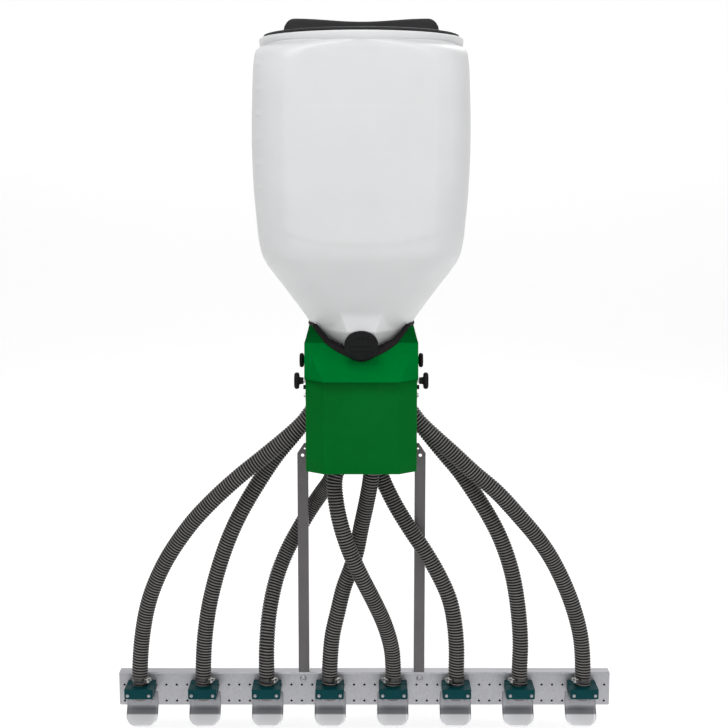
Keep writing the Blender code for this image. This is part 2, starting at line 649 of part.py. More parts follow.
def make_blower(machine):
    front, back = SCROLL_Y
    wall = 0.003
    axis = (Vector((0, 0, FAN_Z)), Y_AXIS)

    def along(start, end):
        return [(axis[0] + start * axis[1], axis[0] + end * axis[1])]

    scroll = machine.part(cylinders(along(front, back), SCROLL_RADIUS, 28), "blower_housing", GREY_PLASTIC)
    machine.join(scroll, box((-0.030, MANIFOLD_REAR + GAP, -0.050), (0.030, back - 0.004, 0.0)))
    machine.cut(
        scroll,
        cylinders(along(front + wall, back - wall), SCROLL_RADIUS - wall, 28),
        box((-0.027, front - 0.01, -0.047), (0.027, back - 0.007, -0.020)),
        cylinders(along(back - 0.01, back + 0.01), 0.032, 32),
    )
    shaft = 0.003
    star = toothed(IMPELLER_BLADES, 0.018, IMPELLER_RADIUS, 0.25, 0.08)
    wheel = outline([(x, z + FAN_Z) for x, z in star], IMPELLER_Y[0] + 0.001, IMPELLER_Y[1], "Y")
    set_origin(machine.part(wheel, "blower_impeller", GREY_PLASTIC), (0, 0, FAN_Z))
    machine.join(wheel, cylinders(along(IMPELLER_Y[0], IMPELLER_Y[0] + 0.002), IMPELLER_RADIUS + 0.001, 24))
    machine.cut(wheel, cylinders(along(0.06, 0.11), shaft + GAP, 16))
    motor = machine.part(cylinders(along(0.1065, PLATE_REAR), 0.0225), "blower_motor", STEEL)
    machine.join(motor, cylinders(along(0.0690, 0.1075), shaft, 16))


def make_bar(machine):
    back = BAR_FRONT + BAR_SHEET
    profile = [
        (BAR_FRONT, BAR_BOTTOM), (back, BAR_BOTTOM), (back, BAR_TOP - BAR_SHEET),
        (BAR_FRONT + BAR_FLANGE, BAR_TOP - BAR_SHEET), (BAR_FRONT + BAR_FLANGE, BAR_TOP), (BAR_FRONT, BAR_TOP),
    ]
    bar = machine.part(outline(profile, BAR_SHIFT - BAR_HALF_LENGTH, BAR_SHIFT + BAR_HALF_LENGTH, "X"), "distribution_bar", ZINC)
    for side in (-1, 1):
        near, far = sorted((side * (STRUT_IN - 0.0008), side * (STRUT_OUT + 0.0008)))
        machine.cut(bar, box((near, back + 0.0001, BAR_TOP - 0.01), (far, BAR_FRONT + BAR_FLANGE + 0.01, BAR_TOP + 0.01)))


def make_struts(machine):
    inner, back = STRUT_IN + STRUT_THICKNESS, STRUT_FRONT + STRUT_THICKNESS
    angle = [
        (STRUT_IN, STRUT_FRONT), (STRUT_OUT, STRUT_FRONT), (STRUT_OUT, back),
        (inner, back), (inner, STRUT_FRONT + 0.025), (STRUT_IN, STRUT_FRONT + 0.025),
    ]
    corner = [(STRUT_OUT + 0.010, STRUT_TOP - 0.039), (STRUT_OUT + 0.010, STRUT_TOP + 0.015), (STRUT_OUT - 0.026, STRUT_TOP + 0.015)]
    for side, name in ((-1, "strut_left"), (1, "strut_right")):
        strut = outline([(side * x, y) for x, y in angle], STRUT_BOTTOM, STRUT_TOP)
        machine.part(strut, name, ZINC)
        machine.cut(strut, outline([(side * x, z) for x, z in corner], STRUT_FRONT - 0.01, STRUT_FRONT + 0.04, "Y"))


def deflector_outline():
    """The lower leaf, straight at the bend and round at both lower corners."""
    half, low = DEFLECTOR_WIDTH / 2, -DEFLECTOR_LENGTH
    corner = []
    for i in range(7):
        angle = math.pi / 2 * i / 6
        corner.append((half - DEFLECTOR_CORNER * (1 - math.cos(angle)), low + DEFLECTOR_CORNER * (1 - math.sin(angle))))
    side = [(half, 0.0)] + corner
    return side + mirror_x(side)


def make_outlets(machine):
    wide, deep, high = CLAMP_SIZE
    clamp_back = BAR_FRONT - GAP
    for number, x in enumerate(OUTLETS_X, 1):
        clamp = box((x - wide / 2, clamp_back - deep, CLAMP_TOP - high), (x + wide / 2, clamp_back, CLAMP_TOP))
        machine.part(clamp, f"pipe_clamp_{number}", TEAL)
        soften(clamp, 0.002, 1)
        axis = [((x, OUTLET_Y, CLAMP_TOP - 2 * high), (x, OUTLET_Y, CLAMP_TOP + high))]
        machine.cut(clamp, cylinders(axis, PIPE_RADIUS + 0.0005, 16))
        pipe = ring(PIPE_RADIUS, PIPE_BORE, PIPE_BOTTOM, PIPE_TOP, 16, place=(x, OUTLET_Y, 0))
        machine.part(pipe, f"outlet_pipe_{number}", GREY_PLASTIC)
        tab = box((x - DEFLECTOR_WIDTH / 2, clamp_back - DEFLECTOR_SHEET, DEFLECTOR_BEND - 0.0005),
                  (x + DEFLECTOR_WIDTH / 2, clamp_back, CLAMP_TOP - high - 0.006))
        machine.part(tab, f"deflector_{number}", STEEL)
        leaf = outline(deflector_outline(), -DEFLECTOR_SHEET / 2, DEFLECTOR_SHEET / 2, "Y")
        bend = Matrix.Translation((x, clamp_back - DEFLECTOR_SHEET / 2, DEFLECTOR_BEND))
        leaf.data.transform(bend @ Matrix.Rotation(-DEFLECTOR_TILT, 4, "X"))
        machine.join(tab, leaf)


def smooth_route(points, count):
    """Equally spaced points of a smooth curve through all the given ones."""
    padded = [2 * points[0] - points[1], *points, 2 * points[-1] - points[-2]]
    fine = []
    for p0, p1, p2, p3 in zip(padded, padded[1:], padded[2:], padded[3:]):
        k0, k1, k2 = [math.sqrt((b - a).length) for a, b in ((p0, p1), (p1, p2), (p2, p3))]
        m1 = (p1 - p0) / k0 * k1 - (p2 - p0) / (k0 + k1) * k1 + (p2 - p1)
        m2 = (p2 - p1) - (p3 - p1) / (k1 + k2) * k1 + (p3 - p2) / k2 * k1
        for step in range(24):
            t = step / 24
            fine.append((2 * t**3 - 3 * t**2 + 1) * p1 + (t**3 - 2 * t**2 + t) * m1
                        + (3 * t**2 - 2 * t**3) * p2 + (t**3 - t**2) * m2)
    fine.append(points[-1])
    travel = [0.0]
    for a, b in zip(fine, fine[1:]):
        travel.append(travel[-1] + (b - a).length)
    spaced, at = [], 0
    for i in range(count):
        want = travel[-1] * i / (count - 1)
        while at < len(fine) - 2 and travel[at + 1] < want:
            at += 1
        spaced.append(fine[at].lerp(fine[at + 1], (want - travel[at]) / (travel[at + 1] - travel[at])))
    return spaced


def make_hoses(machine):
    for index, (x, (_, _, route)) in enumerate(zip(OUTLETS_X, HOSES)):
        start, way = hose_start(index)
        start += GAP * way
        end = Vector((x, OUTLET_Y, PIPE_TOP + GAP))
        straight = 0.018
        first, last = start + straight * way, end + straight * Z_AXIS
        path = smooth_route([start, first, *map(Vector, route), last, end], HOSE_POINTS)
        path = [start, first, *path[1:-1], last, end]
        curve = bpy.data.curves.new("hose", "CURVE")
        curve.dimensions = "3D"
        curve.bevel_depth = HOSE_RADIUS
        curve.bevel_resolution = 3
        curve.use_fill_caps = True
        spline = curve.splines.new("POLY")
        spline.points.add(len(path) - 1)
        for point, place in zip(spline.points, path):
            point.co = (*place, 1)
        machine.part(bpy.data.objects.new("hose", curve), f"hose_{index + 1}", HOSE_GREY)


def main():
    clear_scene()
    machine = Machine()
    make_hopper(machine)
    make_lid(machine)
    make_drain(machine)
    make_hood(machine)
    make_front_cover(machine)
    make_plates(machine)
    make_knobs(machine)
    make_metering_housing(machine)
    make_rotors(machine)
    make_gear_motor(machine)
    make_manifold(machine)
    make_blower(machine)
    make_bar(machine)
    make_struts(machine)
    make_outlets(machine)
    make_hoses(machine)


main()
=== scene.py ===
"""Looks of the pneumatic seed spreader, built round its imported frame. Metres, +Z up, front -Y."""
import math

import bmesh
import bpy
import numpy as np
from mathutils import Matrix, Vector


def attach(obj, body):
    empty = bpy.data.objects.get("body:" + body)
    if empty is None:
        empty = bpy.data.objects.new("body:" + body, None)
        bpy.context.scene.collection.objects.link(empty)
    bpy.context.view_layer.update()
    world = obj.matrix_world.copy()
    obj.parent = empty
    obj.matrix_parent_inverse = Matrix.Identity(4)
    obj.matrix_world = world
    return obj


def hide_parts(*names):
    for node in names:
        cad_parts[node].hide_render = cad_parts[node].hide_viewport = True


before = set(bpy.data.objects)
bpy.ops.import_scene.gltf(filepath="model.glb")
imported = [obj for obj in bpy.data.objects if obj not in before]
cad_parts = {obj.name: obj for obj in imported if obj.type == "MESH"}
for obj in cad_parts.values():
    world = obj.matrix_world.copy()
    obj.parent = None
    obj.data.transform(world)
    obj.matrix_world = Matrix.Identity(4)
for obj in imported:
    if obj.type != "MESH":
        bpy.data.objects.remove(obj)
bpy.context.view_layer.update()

# The hopper's axis lies this far in front of the mounting face. Shapes below are given round
# that axis and moved back by it.
AXIS_Y = -0.170
TO_ROW = Matrix.Translation((0, AXIS_Y, 0))

# Shared sizes
GAP = 0.0003
SHEET = 0.002
BAR_FRONT, BAR_SHEET = 0.046, 0.003
BAR_TOP, BAR_BOTTOM = -0.6375, -0.718
BAR_HALF, BAR_SHIFT = 0.5875, 0.007
BAR_FLANGE = 0.030
OUTLETS_X = [-0.525, -0.375, -0.225, -0.075, 0.075, 0.225, 0.375, 0.525]
OUTLET_Y = 0.0175
CLAMP_TOP = -0.6555
CLAMP_SIZE = (0.067, 0.066, 0.0235)
CLAMP_BORE = 0.0160
CLAMP_SCREW_DROP = 0.0145
SCREW_APART = 0.025
HOLE_RADIUS = 0.0029
# Middles of the bar's holes, in X and Z
BAR_HOLES = [((i - 23) * 0.025 + BAR_SHIFT, BAR_BOTTOM + row) for row in (0.010, 0.050) for i in range(47)]
DRAIN_TILT = math.radians(34)
DRAIN_AXIS = Vector((0, -math.cos(DRAIN_TILT), -math.sin(DRAIN_TILT)))
DRAIN_PLACE = Vector((0, -0.1208, 0.1785))


# ---------------------------------------------------------------- mesh helpers


def link(obj):
    bpy.context.scene.collection.objects.link(obj)
    return obj


def object_from(name, bm, smooth=40):
    """A mesh object from a bmesh in the machine's own frame, moved into the row's."""
    bmesh.ops.transform(bm, matrix=TO_ROW, verts=bm.verts)
    mesh = bpy.data.meshes.new(name)
    bm.to_mesh(mesh)
    bm.free()
    if smooth:
        mesh.shade_smooth()
        if smooth < 180:
            mesh.set_sharp_from_angle(angle=math.radians(smooth))
    return link(bpy.data.objects.new(name, mesh))


def apply_modifiers(obj):
    """Replaces an object's mesh with its modified one."""
    graph = bpy.context.evaluated_depsgraph_get()
    mesh = bpy.data.meshes.new_from_object(obj.evaluated_get(graph))
    obj.modifiers.clear()
    obj.data = mesh
    return obj


def finish_piece(obj, body, mat, replaces=()):
    obj.data.materials.clear()
    obj.data.materials.append(mat)
    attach(obj, body)
    if replaces:
        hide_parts(*replaces)
    return obj


def grid_faces(bm, rings, closed=True):
    """Quads between rings of equally many points. Returns the vertex loops."""
    loops = [[bm.verts.new(p) for p in ring] for ring in rings]
    n = len(loops[0])
    last = n if closed else n - 1
    for a, b in zip(loops, loops[1:]):
        for i in range(last):
            j = (i + 1) % n
            bm.faces.new((a[i], b[i], b[j], a[j]))
    return loops


def lathe(profile, steps=64, axis=(0, 0, 1), place=(0, 0, 0), wobble=None):
    """A bmesh turned from (radius, height) points, which run down the outer side.

    wobble(angle, index) scales the radius, as for grips and knurls.
    """
    bm = bmesh.new()
    matrix = aim(axis, place)
    rings = []
    for index, (radius, height) in enumerate(profile):
        ring = []
        for i in range(steps):
            angle = 2 * math.pi * i / steps
            r = radius * (wobble(angle, index) if wobble else 1)
            ring.append(matrix @ Vector((r * math.cos(angle), r * math.sin(angle), height)))
        rings.append(ring)
    grid_faces(bm, rings)
    bmesh.ops.remove_doubles(bm, verts=bm.verts, dist=1e-6)
    bmesh.ops.dissolve_degenerate(bm, edges=bm.edges, dist=1e-7)
    bmesh.ops.recalc_face_normals(bm, faces=bm.faces)
    return bm


def rounded(points, radius, steps=4, closed=False):
    """Points of a path with its corners rounded."""
    points = [Vector(p) for p in points]
    out = []
    n = len(points)
    for i, p in enumerate(points):
        if not closed and i in (0, n - 1):
            out.append(p)
            continue
        a, b = points[i - 1], points[(i + 1) % n]
        to_a, to_b = (a - p), (b - p)
        bend = to_a.angle(to_b)
        if bend > math.radians(178):
            out.append(p)
            continue
        cut = min(radius / math.tan(bend / 2), to_a.length * 0.49, to_b.length * 0.49)
        start, end = p + to_a.normalized() * cut, p + to_b.normalized() * cut
        for k in range(steps + 1):
            t = k / steps
            out.append(start * (1 - t) ** 2 + p * 2 * t * (1 - t) + end * t**2)
    return out


def extrude_outline(points, low, high, matrix=Matrix.Identity(4)):
    """A bmesh prism of a flat closed outline in X and Y, between two heights."""
    bm = bmesh.new()
    bottom = [bm.verts.new((p[0], p[1], low)) for p in points]
    top = [bm.verts.new((p[0], p[1], high)) for p in points]
    bm.faces.new(list(reversed(bottom)))
    bm.faces.new(top)
    n = len(points)
    for i in range(n):
        j = (i + 1) % n
        bm.faces.new((bottom[i], bottom[j], top[j], top[i]))
    bmesh.ops.recalc_face_normals(bm, faces=bm.faces)
    bmesh.ops.transform(bm, matrix=matrix, verts=bm.verts)
    return bm


def merge(*parts):
    """One bmesh from several."""
    whole = bmesh.new()
    for part in parts:
        mesh = bpy.data.meshes.new("part")
        part.to_mesh(mesh)
        part.free()
        whole.from_mesh(mesh)
        bpy.data.meshes.remove(mesh)
    return whole


def bevelled(bm, width, segments=2, angle=30):
    edges = [e for e in bm.edges if len(e.link_faces) == 2 and e.calc_face_angle(0) > math.radians(angle)]
    bmesh.ops.bevel(bm, geom=edges, offset=width, segments=segments, profile=0.5, affect="EDGES", clamp_overlap=True)
    return bm


def thicken(obj, thickness, even=True):
    """Gives an open surface a sheet's thickness, inwards."""
    solid = obj.modifiers.new("sheet", "SOLIDIFY")
    solid.thickness = thickness
    solid.offset = -1
    solid.use_even_offset = even


def soften(obj, width, angle):
    """Rounds the edges that bend by more than an angle in degrees."""
    edge = obj.modifiers.new("edge", "BEVEL")
    edge.width = width
    edge.segments = 2
    edge.limit_method = "ANGLE"
    edge.angle_limit = math.radians(angle)


def cut_away(obj, tools, smooth):
    """Cuts each bmesh in tools out of an object, which then shades smooth up to an angle."""
    cutters = [object_from(f"cutter_{number}", bm, 0) for number, bm in enumerate(tools)]
    for cutter in cutters:
        cut = obj.modifiers.new("cut", "BOOLEAN")
        cut.object = cutter
        cut.solver = "EXACT"
    apply_modifiers(obj)
    for cutter in cutters:
        bpy.data.objects.remove(cutter)
    obj.data.shade_smooth()
    obj.data.set_sharp_from_angle(angle=math.radians(smooth))


def face_outwards(bm):
    """Turns an open surface's faces away from the machine's axis."""
    bmesh.ops.recalc_face_normals(bm, faces=bm.faces)
    facing = 0.0
    for face in bm.faces:
        middle = face.calc_center_median()
        facing += face.normal.x * middle.x + face.normal.y * middle.y
    if facing < 0:
        bmesh.ops.reverse_faces(bm, faces=bm.faces)


def hexagon(radius):
    return [(radius * math.cos(math.pi / 3 * i), radius * math.sin(math.pi / 3 * i)) for i in range(6)]


def aim(axis, place):
    return Matrix.Translation(place) @ Vector(axis).to_track_quat("Z", "Y").to_matrix().to_4x4()


def hex_bolt(place, axis, across=0.010, head=0.0045, washer=0.0065, stud=0.0):
    """A hexagon head on its washer, standing on a face at place, along axis."""
    matrix = aim(axis, place)
    nut = bevelled(extrude_outline(hexagon(across / math.sqrt(3)), 0.0012, 0.0012 + head), 0.0005, 2)
    ring = lathe([(0, 0.0013), (washer - 0.0003, 0.0013), (washer, 0.001), (washer, -0.0002), (0, -0.0002)], 28)
    parts = [nut, ring]
    if stud:
        parts.append(lathe([(0, head + stud), (across * 0.26, head + stud), (across * 0.3, head + stud - 0.0006),
                            (across * 0.3, 0), (0, 0)], 20))
    whole = merge(*parts)
    bmesh.ops.transform(whole, matrix=matrix, verts=whole.verts)
    return whole


def pan_screw(place, axis, radius=0.0045, height=0.0025):
    """A domed head with a hexagon socket."""
    socket = radius * 0.45
    profile = [(0, height * 0.35), (socket * 0.8, height * 0.35), (socket, height * 0.9), (radius * 0.7, height * 0.82),
               (radius * 0.92, height * 0.5), (radius, height * 0.15), (radius, -0.0003), (0, -0.0003)]
    return lathe(profile, 24, axis, place)


# ---------------------------------------------------------------- materials


class Look:
    """Builds one procedural material on its Principled shader."""

    def __init__(self, name, rough, metal=0.0, colour=(0.5, 0.5, 0.5)):
        self.mat = bpy.data.materials.new(name)
        self.mat.use_nodes = True
        self.nodes = self.mat.node_tree.nodes
        self.links = self.mat.node_tree.links
        self.shader = self.nodes["Principled BSDF"]
        self.set("Roughness", rough)
        self.set("Metallic", metal)
        self.set("Base Color", (*colour, 1))
        self.mat.diffuse_color = (*colour, 1)
        self.where = self.nodes.new("ShaderNodeTexCoord").outputs["Object"]
        self.height = None

    def set(self, socket, value):
        self.shader.inputs[socket].default_value = value
        return self

    def stretch(self, scale):
        node = self.nodes.new("ShaderNodeMapping")
        node.inputs["Scale"].default_value = scale
        self.links.new(self.where, node.inputs["Vector"])
        return node.outputs["Vector"]

    def noise(self, scale, detail=4.0, rough=0.6, stretch=None):
        node = self.nodes.new("ShaderNodeTexNoise")
        node.inputs["Scale"].default_value = scale
        node.inputs["Detail"].default_value = detail
        node.inputs["Roughness"].default_value = rough
        self.links.new(self.stretch(stretch) if stretch else self.where, node.inputs["Vector"])
        return node.outputs["Fac"]

    def cells(self, scale, stretch=None):
        node = self.nodes.new("ShaderNodeTexVoronoi")
        node.inputs["Scale"].default_value = scale
        self.links.new(self.stretch(stretch) if stretch else self.where, node.inputs["Vector"])
        return node.outputs["Color"]

    def attribute(self, name):
        node = self.nodes.new("ShaderNodeVertexColor")
        node.layer_name = name
        return node.outputs["Color"]

    def along(self, axis):
        """The place on the object along X, Y or Z."""
        node = self.nodes.new("ShaderNodeSeparateXYZ")
        self.links.new(self.where, node.inputs[0])
        return node.outputs[axis]

    def ramp(self, value, stops):
        node = self.nodes.new("ShaderNodeValToRGB")
        self.links.new(value, node.inputs["Fac"])
        elements = node.color_ramp.elements
        while len(elements) < len(stops):
            elements.new(0.5)
        for element, (place, colour) in zip(elements, stops):
            element.position = place
            element.color = (*colour, 1)
        return node.outputs["Color"]

    def range(self, value, low, high, start=0.3, end=0.7):
        node = self.nodes.new("ShaderNodeMapRange")
        for socket, number in (("From Min", start), ("From Max", end), ("To Min", low), ("To Max", high)):
            node.inputs[socket].default_value = number
        self.links.new(value, node.inputs["Value"])
        return node.outputs["Result"]

    def mix(self, amount, first, second, blend="MIX"):
        node = self.nodes.new("ShaderNodeMix")
        node.data_type = "RGBA"
        node.blend_type = blend
        for socket, value in ((node.inputs[0], amount), (node.inputs[6], first), (node.inputs[7], second)):
            if hasattr(value, "is_output"):
                self.links.new(value, socket)
            else:
                socket.default_value = value if isinstance(value, float) else (*value, 1)
        return node.outputs[2]

    def to(self, socket, value):
        self.links.new(value, self.shader.inputs[socket])
        return self

    def bump(self, value, strength, distance):
        node = self.nodes.new("ShaderNodeBump")
        node.inputs["Strength"].default_value = strength
        node.inputs["Distance"].default_value = distance
        self.links.new(value, node.inputs["Height"])
        if self.height:
            self.links.new(self.height, node.inputs["Normal"])
        self.height = node.outputs["Normal"]
        self.links.new(self.height, self.shader.inputs["Normal"])
        return self


def shade(colour, factor):
    return tuple(min(1.0, c * factor) for c in colour)


def moulded(name, colour, rough=0.45, grain=900, spread=0.12, bump=0.15, gloss=0.20):
    """Moulded plastic: a fine grain, faint flow marks and uneven gloss."""
    look = Look(name, rough, colour=colour)
    flow = look.noise(9, 5, 0.6, (1, 1, 0.35))
    look.to("Base Color", look.ramp(flow, [(0.25, shade(colour, 1 - spread)), (0.75, shade(colour, 1 + spread))]))
    look.to("Roughness", look.range(look.noise(60, 3), rough - 0.07, rough + 0.10))
    look.bump(look.noise(grain, 2), bump, 0.0004)
    look.set("Specular IOR Level", gloss)
    look.set("IOR", 1.30)
    return look.mat


def painted(name, colour, gloss=0.25, wing_shade=None):
    """Powder coat on sheet steel: orange peel, slight fading and dust in patches.

    The two heights given for a wing mark painted shade: between them the colour turns darker upwards, for the hopper's
    shade on the hood's wings.
    """
    look = Look(name, 0.42, colour=colour)
    patches = look.noise(6, 6, 0.65)
    base = look.ramp(patches, [(0.3, shade(colour, 0.93)), (0.7, shade(colour, 1.06))])
    dust = look.range(look.noise(26, 8, 0.72), 0.0, 0.06, 0.52, 0.78)
    # Painted shade: darker upwards between the two heights, for the hopper's shade on the hood's wings.
    if wing_shade:
        base = look.mix(look.range(look.along("Z"), 0.0, 1.0, *wing_shade), base, shade(colour, 0.55))
    look.to("Base Color", look.mix(dust, base, (0.01, 0.20, 0.05)))
    look.to("Roughness", look.range(look.noise(40, 5), 0.36, 0.52))
    look.bump(look.noise(420, 2), 0.12, 0.0006)
    look.set("Specular IOR Level", gloss)
    look.set("IOR", 1.16)
    return look.mat


def metal(name, colour, rough):
    """Bare or plated metal with a drawn grain."""
    look = Look(name, rough, 1.0, colour)
    lines = look.noise(55, 5, 0.7, (1, 1, 40))
    look.to("Base Color", look.ramp(lines, [(0.2, shade(colour, 0.82)), (0.8, shade(colour, 1.12))]))
    look.to("Roughness", look.range(look.noise(14, 6, 0.7), rough - 0.06, rough + 0.10))
    look.bump(lines, 0.06, 0.0002)
    return look.mat


def leaf_metal(name, colour, rough):
    """Polished sheet with a painted reflection of the clamp as a dark band across the top of the leaf, and painted
    shadow of the clamp on the screwed tab, which is also duller.
    """
    look = Look(name, rough, 0.45, colour)
    lines = look.noise(55, 5, 0.7, (40, 1, 1))
    grained = look.ramp(lines, [(0.2, shade(colour, 0.95)), (0.8, shade(colour, 1.03))])
    height = look.along("Z")
    # Painted reflection of the clamp: a dark band across the top of the leaf below the bend.
    painted_reflection = look.mix(look.range(height, 0.0, 1.0, -0.7385, -0.7355), grained, (0.24, 0.24, 0.255))
    # Painted shadow of the clamp: the screwed tab above the bend is darker.
    look.to("Base Color", look.mix(look.range(height, 0.0, 1.0, -0.7235, -0.7205), painted_reflection, (0.36, 0.36, 0.385)))
    look.to("Roughness", look.range(height, rough, 0.50, -0.7260, -0.7200))
    look.bump(lines, 0.05, 0.0002)
    return look.mat


def galvanised(name, colour, rough=0.42):
    """Hot-dip zinc: crystal spangle over a cloudy grey."""
    look = Look(name, rough, 0.75, colour)
    spangle = look.cells(210, (1, 1, 0.7))
    grey = look.nodes.new("ShaderNodeRGBToBW")
    look.links.new(spangle, grey.inputs["Color"])
    flakes = look.ramp(grey.outputs["Val"], [(0.2, shade(colour, 0.94)), (0.8, shade(colour, 1.06))])
    clouds = look.ramp(look.noise(9, 7, 0.6, (0.35, 1, 1)), [(0.3, (0.90, 0.90, 0.91)), (0.72, (1.0, 1.0, 1.0))])
    look.to("Base Color", look.mix(1.0, flakes, clouds, "MULTIPLY"))
    look.to("Roughness", look.range(grey.outputs["Val"], rough - 0.10, rough + 0.12, 0.1, 0.9))
    look.bump(look.noise(160, 4), 0.10, 0.0004)
    return look.mat


def hopper_look():
    """Natural polyethylene: soft sheen, a breath of light through the wall, moulding haze."""
    colour = (0.84, 0.845, 0.855)
    look = Look("hopper_polyethylene", 0.40, colour=colour)
    haze = look.noise(4.5, 6, 0.6)
    look.to("Base Color", look.ramp(haze, [(0.3, (0.815, 0.82, 0.83)), (0.7, (0.855, 0.86, 0.87))]))
    look.to("Roughness", look.range(look.noise(22, 5), 0.36, 0.50))
    look.bump(look.noise(75, 4, 0.5), 0.05, 0.0010)
    look.bump(look.noise(700, 2), 0.05, 0.0003)
    look.set("Subsurface Weight", 0.30)
    look.set("Subsurface Radius", (0.012, 0.012, 0.012))
    look.set("Subsurface Scale", 1.0)
    return look.mat


def hose_look():
    """Ribbed hose: pale crests on a near-black wall, the attribute holding the rib's height. The pale crests are a
    painted highlight, and the near-black valleys painted shade.
    """
    look = Look("hose_plastic", 0.42, colour=(0.06, 0.055, 0.055))
    # Painted highlight on the rib crests and painted shade in the valleys between them, set by the rib's height.
    rib = look.ramp(look.attribute("rib"), [(0.25, (0.006, 0.0055, 0.0055)), (0.62, (0.045, 0.043, 0.042)),
                                             (0.96, (0.25, 0.243, 0.238))])
    wear = look.ramp(look.noise(35, 6, 0.7), [(0.3, (0.70, 0.69, 0.68)), (0.72, (1.0, 1.0, 1.0))])
    look.to("Base Color", look.mix(1.0, rib, wear, "MULTIPLY"))
    look.to("Roughness", look.range(look.noise(90, 3), 0.38, 0.54))
    look.bump(look.noise(600, 2), 0.10, 0.0003)
    look.set("Specular IOR Level", 0.22)
    look.set("IOR", 1.35)
    return look.mat


GREEN = painted("green_powder_coat", (0.0, 0.205, 0.032))
# The hood's coat, with painted shade of the hopper on its wings above the shoulder.
HOOD_GREEN = painted("green_hood_coat", (0.0, 0.190, 0.030), 0.0, (0.1735, 0.1765))
# The cover's coat is the green made darker as painted shade: the upright cover gets less light than the tilted hood.
SHADED_COVER_GREEN = painted("green_cover_coat_painted_shade", (0.0, 0.145, 0.018))
HOPPER = hopper_look()
BLACK = moulded("black_plastic", (0.011, 0.0105, 0.011), 0.42)
CAP = moulded("cap_plastic", (0.0075, 0.0077, 0.0083), 0.34, 900, 0.12, 0.15, 0.30)
LID = moulded("lid_plastic", (0.047, 0.047, 0.049), 0.52)
TEAL = moulded("teal_polypropylene", (0.0008, 0.047, 0.054), 0.42)
GREY = moulded("grey_plastic", (0.16, 0.16, 0.165), 0.50)
PIPE = moulded("pipe_plastic", (0.19, 0.185, 0.18), 0.40)
RUBBER = moulded("seal_rubber", (0.020, 0.019, 0.019), 0.75, 500, 0.2, 0.3)
TRIM = moulded("edge_trim_rubber", (0.020, 0.017, 0.018), 0.60, 500, 0.25, 0.3)
HOSE = hose_look()
ZINC = galvanised("galvanised_steel", (0.46, 0.46, 0.485))
# The struts' zinc is a much darker copy of the galvanised steel: painted shade.
SHADED_STRUT_ZINC = galvanised("strut_zinc_painted_shade", (0.165, 0.158, 0.160), 0.50)
BRIGHT = leaf_metal("polished_stainless", (0.92, 0.92, 0.94), 0.22)
SCREW = metal("zinc_screw", (0.62, 0.63, 0.62), 0.30)
MOTOR = metal("motor_steel", (0.38, 0.38, 0.39), 0.38)
CLIP = metal("hose_clip_steel", (0.55, 0.54, 0.52), 0.28)
BAND = metal("clip_band_steel", (0.10, 0.095, 0.095), 0.42)


# ---------------------------------------------------------------- camera and light


def make_camera():
    data = bpy.data.cameras.new("camera")
    data.sensor_width = 36
    data.lens = 68.3
    camera = link(bpy.data.objects.new("camera", data))
    camera.location = (0.006, -3.295, 0.560)
    camera.rotation_euler = (math.radians(90 - 8.1), 0, 0)
    bpy.context.scene.camera = camera


def make_light(name, place, target, size, power):
    data = bpy.data.lights.new(name, "AREA")
    data.shape = "RECTANGLE"
    data.size, data.size_y = size
    data.energy = power
    light = link(bpy.data.objects.new(name, data))
    light.location = place
    light.visible_camera = False
    light.rotation_euler = (Vector(target) - Vector(place)).to_track_quat("-Z", "Y").to_euler()


def make_studio():
    world = bpy.data.worlds.new("studio")
    world.use_nodes = True
    background = world.node_tree.nodes["Background"]
    background.inputs["Color"].default_value = (1.0, 1.0, 1.0, 1)
    background.inputs["Strength"].default_value = 0.44
    bpy.context.scene.world = world
    bpy.context.scene.view_settings.view_transform = "Standard"
    make_light("key", (-0.5, -2.0, 3.1), (0, -0.15, 0.0), (1.8, 1.0), 42)
    make_light("front", (0.2, -3.1, 0.0), (0, -0.15, 0.15), (2.6, 1.2), 14)
    make_light("right", (2.4, -2.0, 1.0), (0, -0.15, 0.1), (1.8, 1.8), 8)
    make_light("rear", (0.6, 2.4, 2.6), (0, -0.15, 0.1), (1.8, 1.8), 24)
    bm = bmesh.new()
    width, depth, back, radius = 9.0, 5.0, 6.0, 1.8
    low = -0.80
    path = [(-depth, low), (back - radius, low)]
    for k in range(1, 13):
        a = math.pi / 2 * k / 12
        path.append((back - radius + radius * math.sin(a), low + radius * (1 - math.cos(a))))
    path.append((back, low + 7.0))
    rows = [[bm.verts.new((x, y, z)) for x in (-width, width)] for y, z in path]
    for a, b in zip(rows, rows[1:]):
        bm.faces.new((a[0], a[1], b[1], b[0]))
    floor = object_from("studio_floor", bm)
    # The floor glows as a light. Its glow and its colour grow from dim in front of the machine to bright behind it, so
    # that little light reaches the hopper's cone from below.
    look = Look("studio_floor", 0.8, colour=(0.92, 0.92, 0.92))
    distance = look.along("Y")
    pale = look.range(distance, 0.0, 1.0, -1.1, -0.3)
    look.to("Base Color", look.mix(pale, (0.60, 0.60, 0.60), (0.90, 0.90, 0.90)))
    look.set("Emission Color", (1.0, 1.0, 1.0, 1))
    look.to("Emission Strength", look.range(distance, 0.05, 0.40, -1.1, -0.3))
    floor.data.materials.append(look.mat)


# ---------------------------------------------------------------- hoses

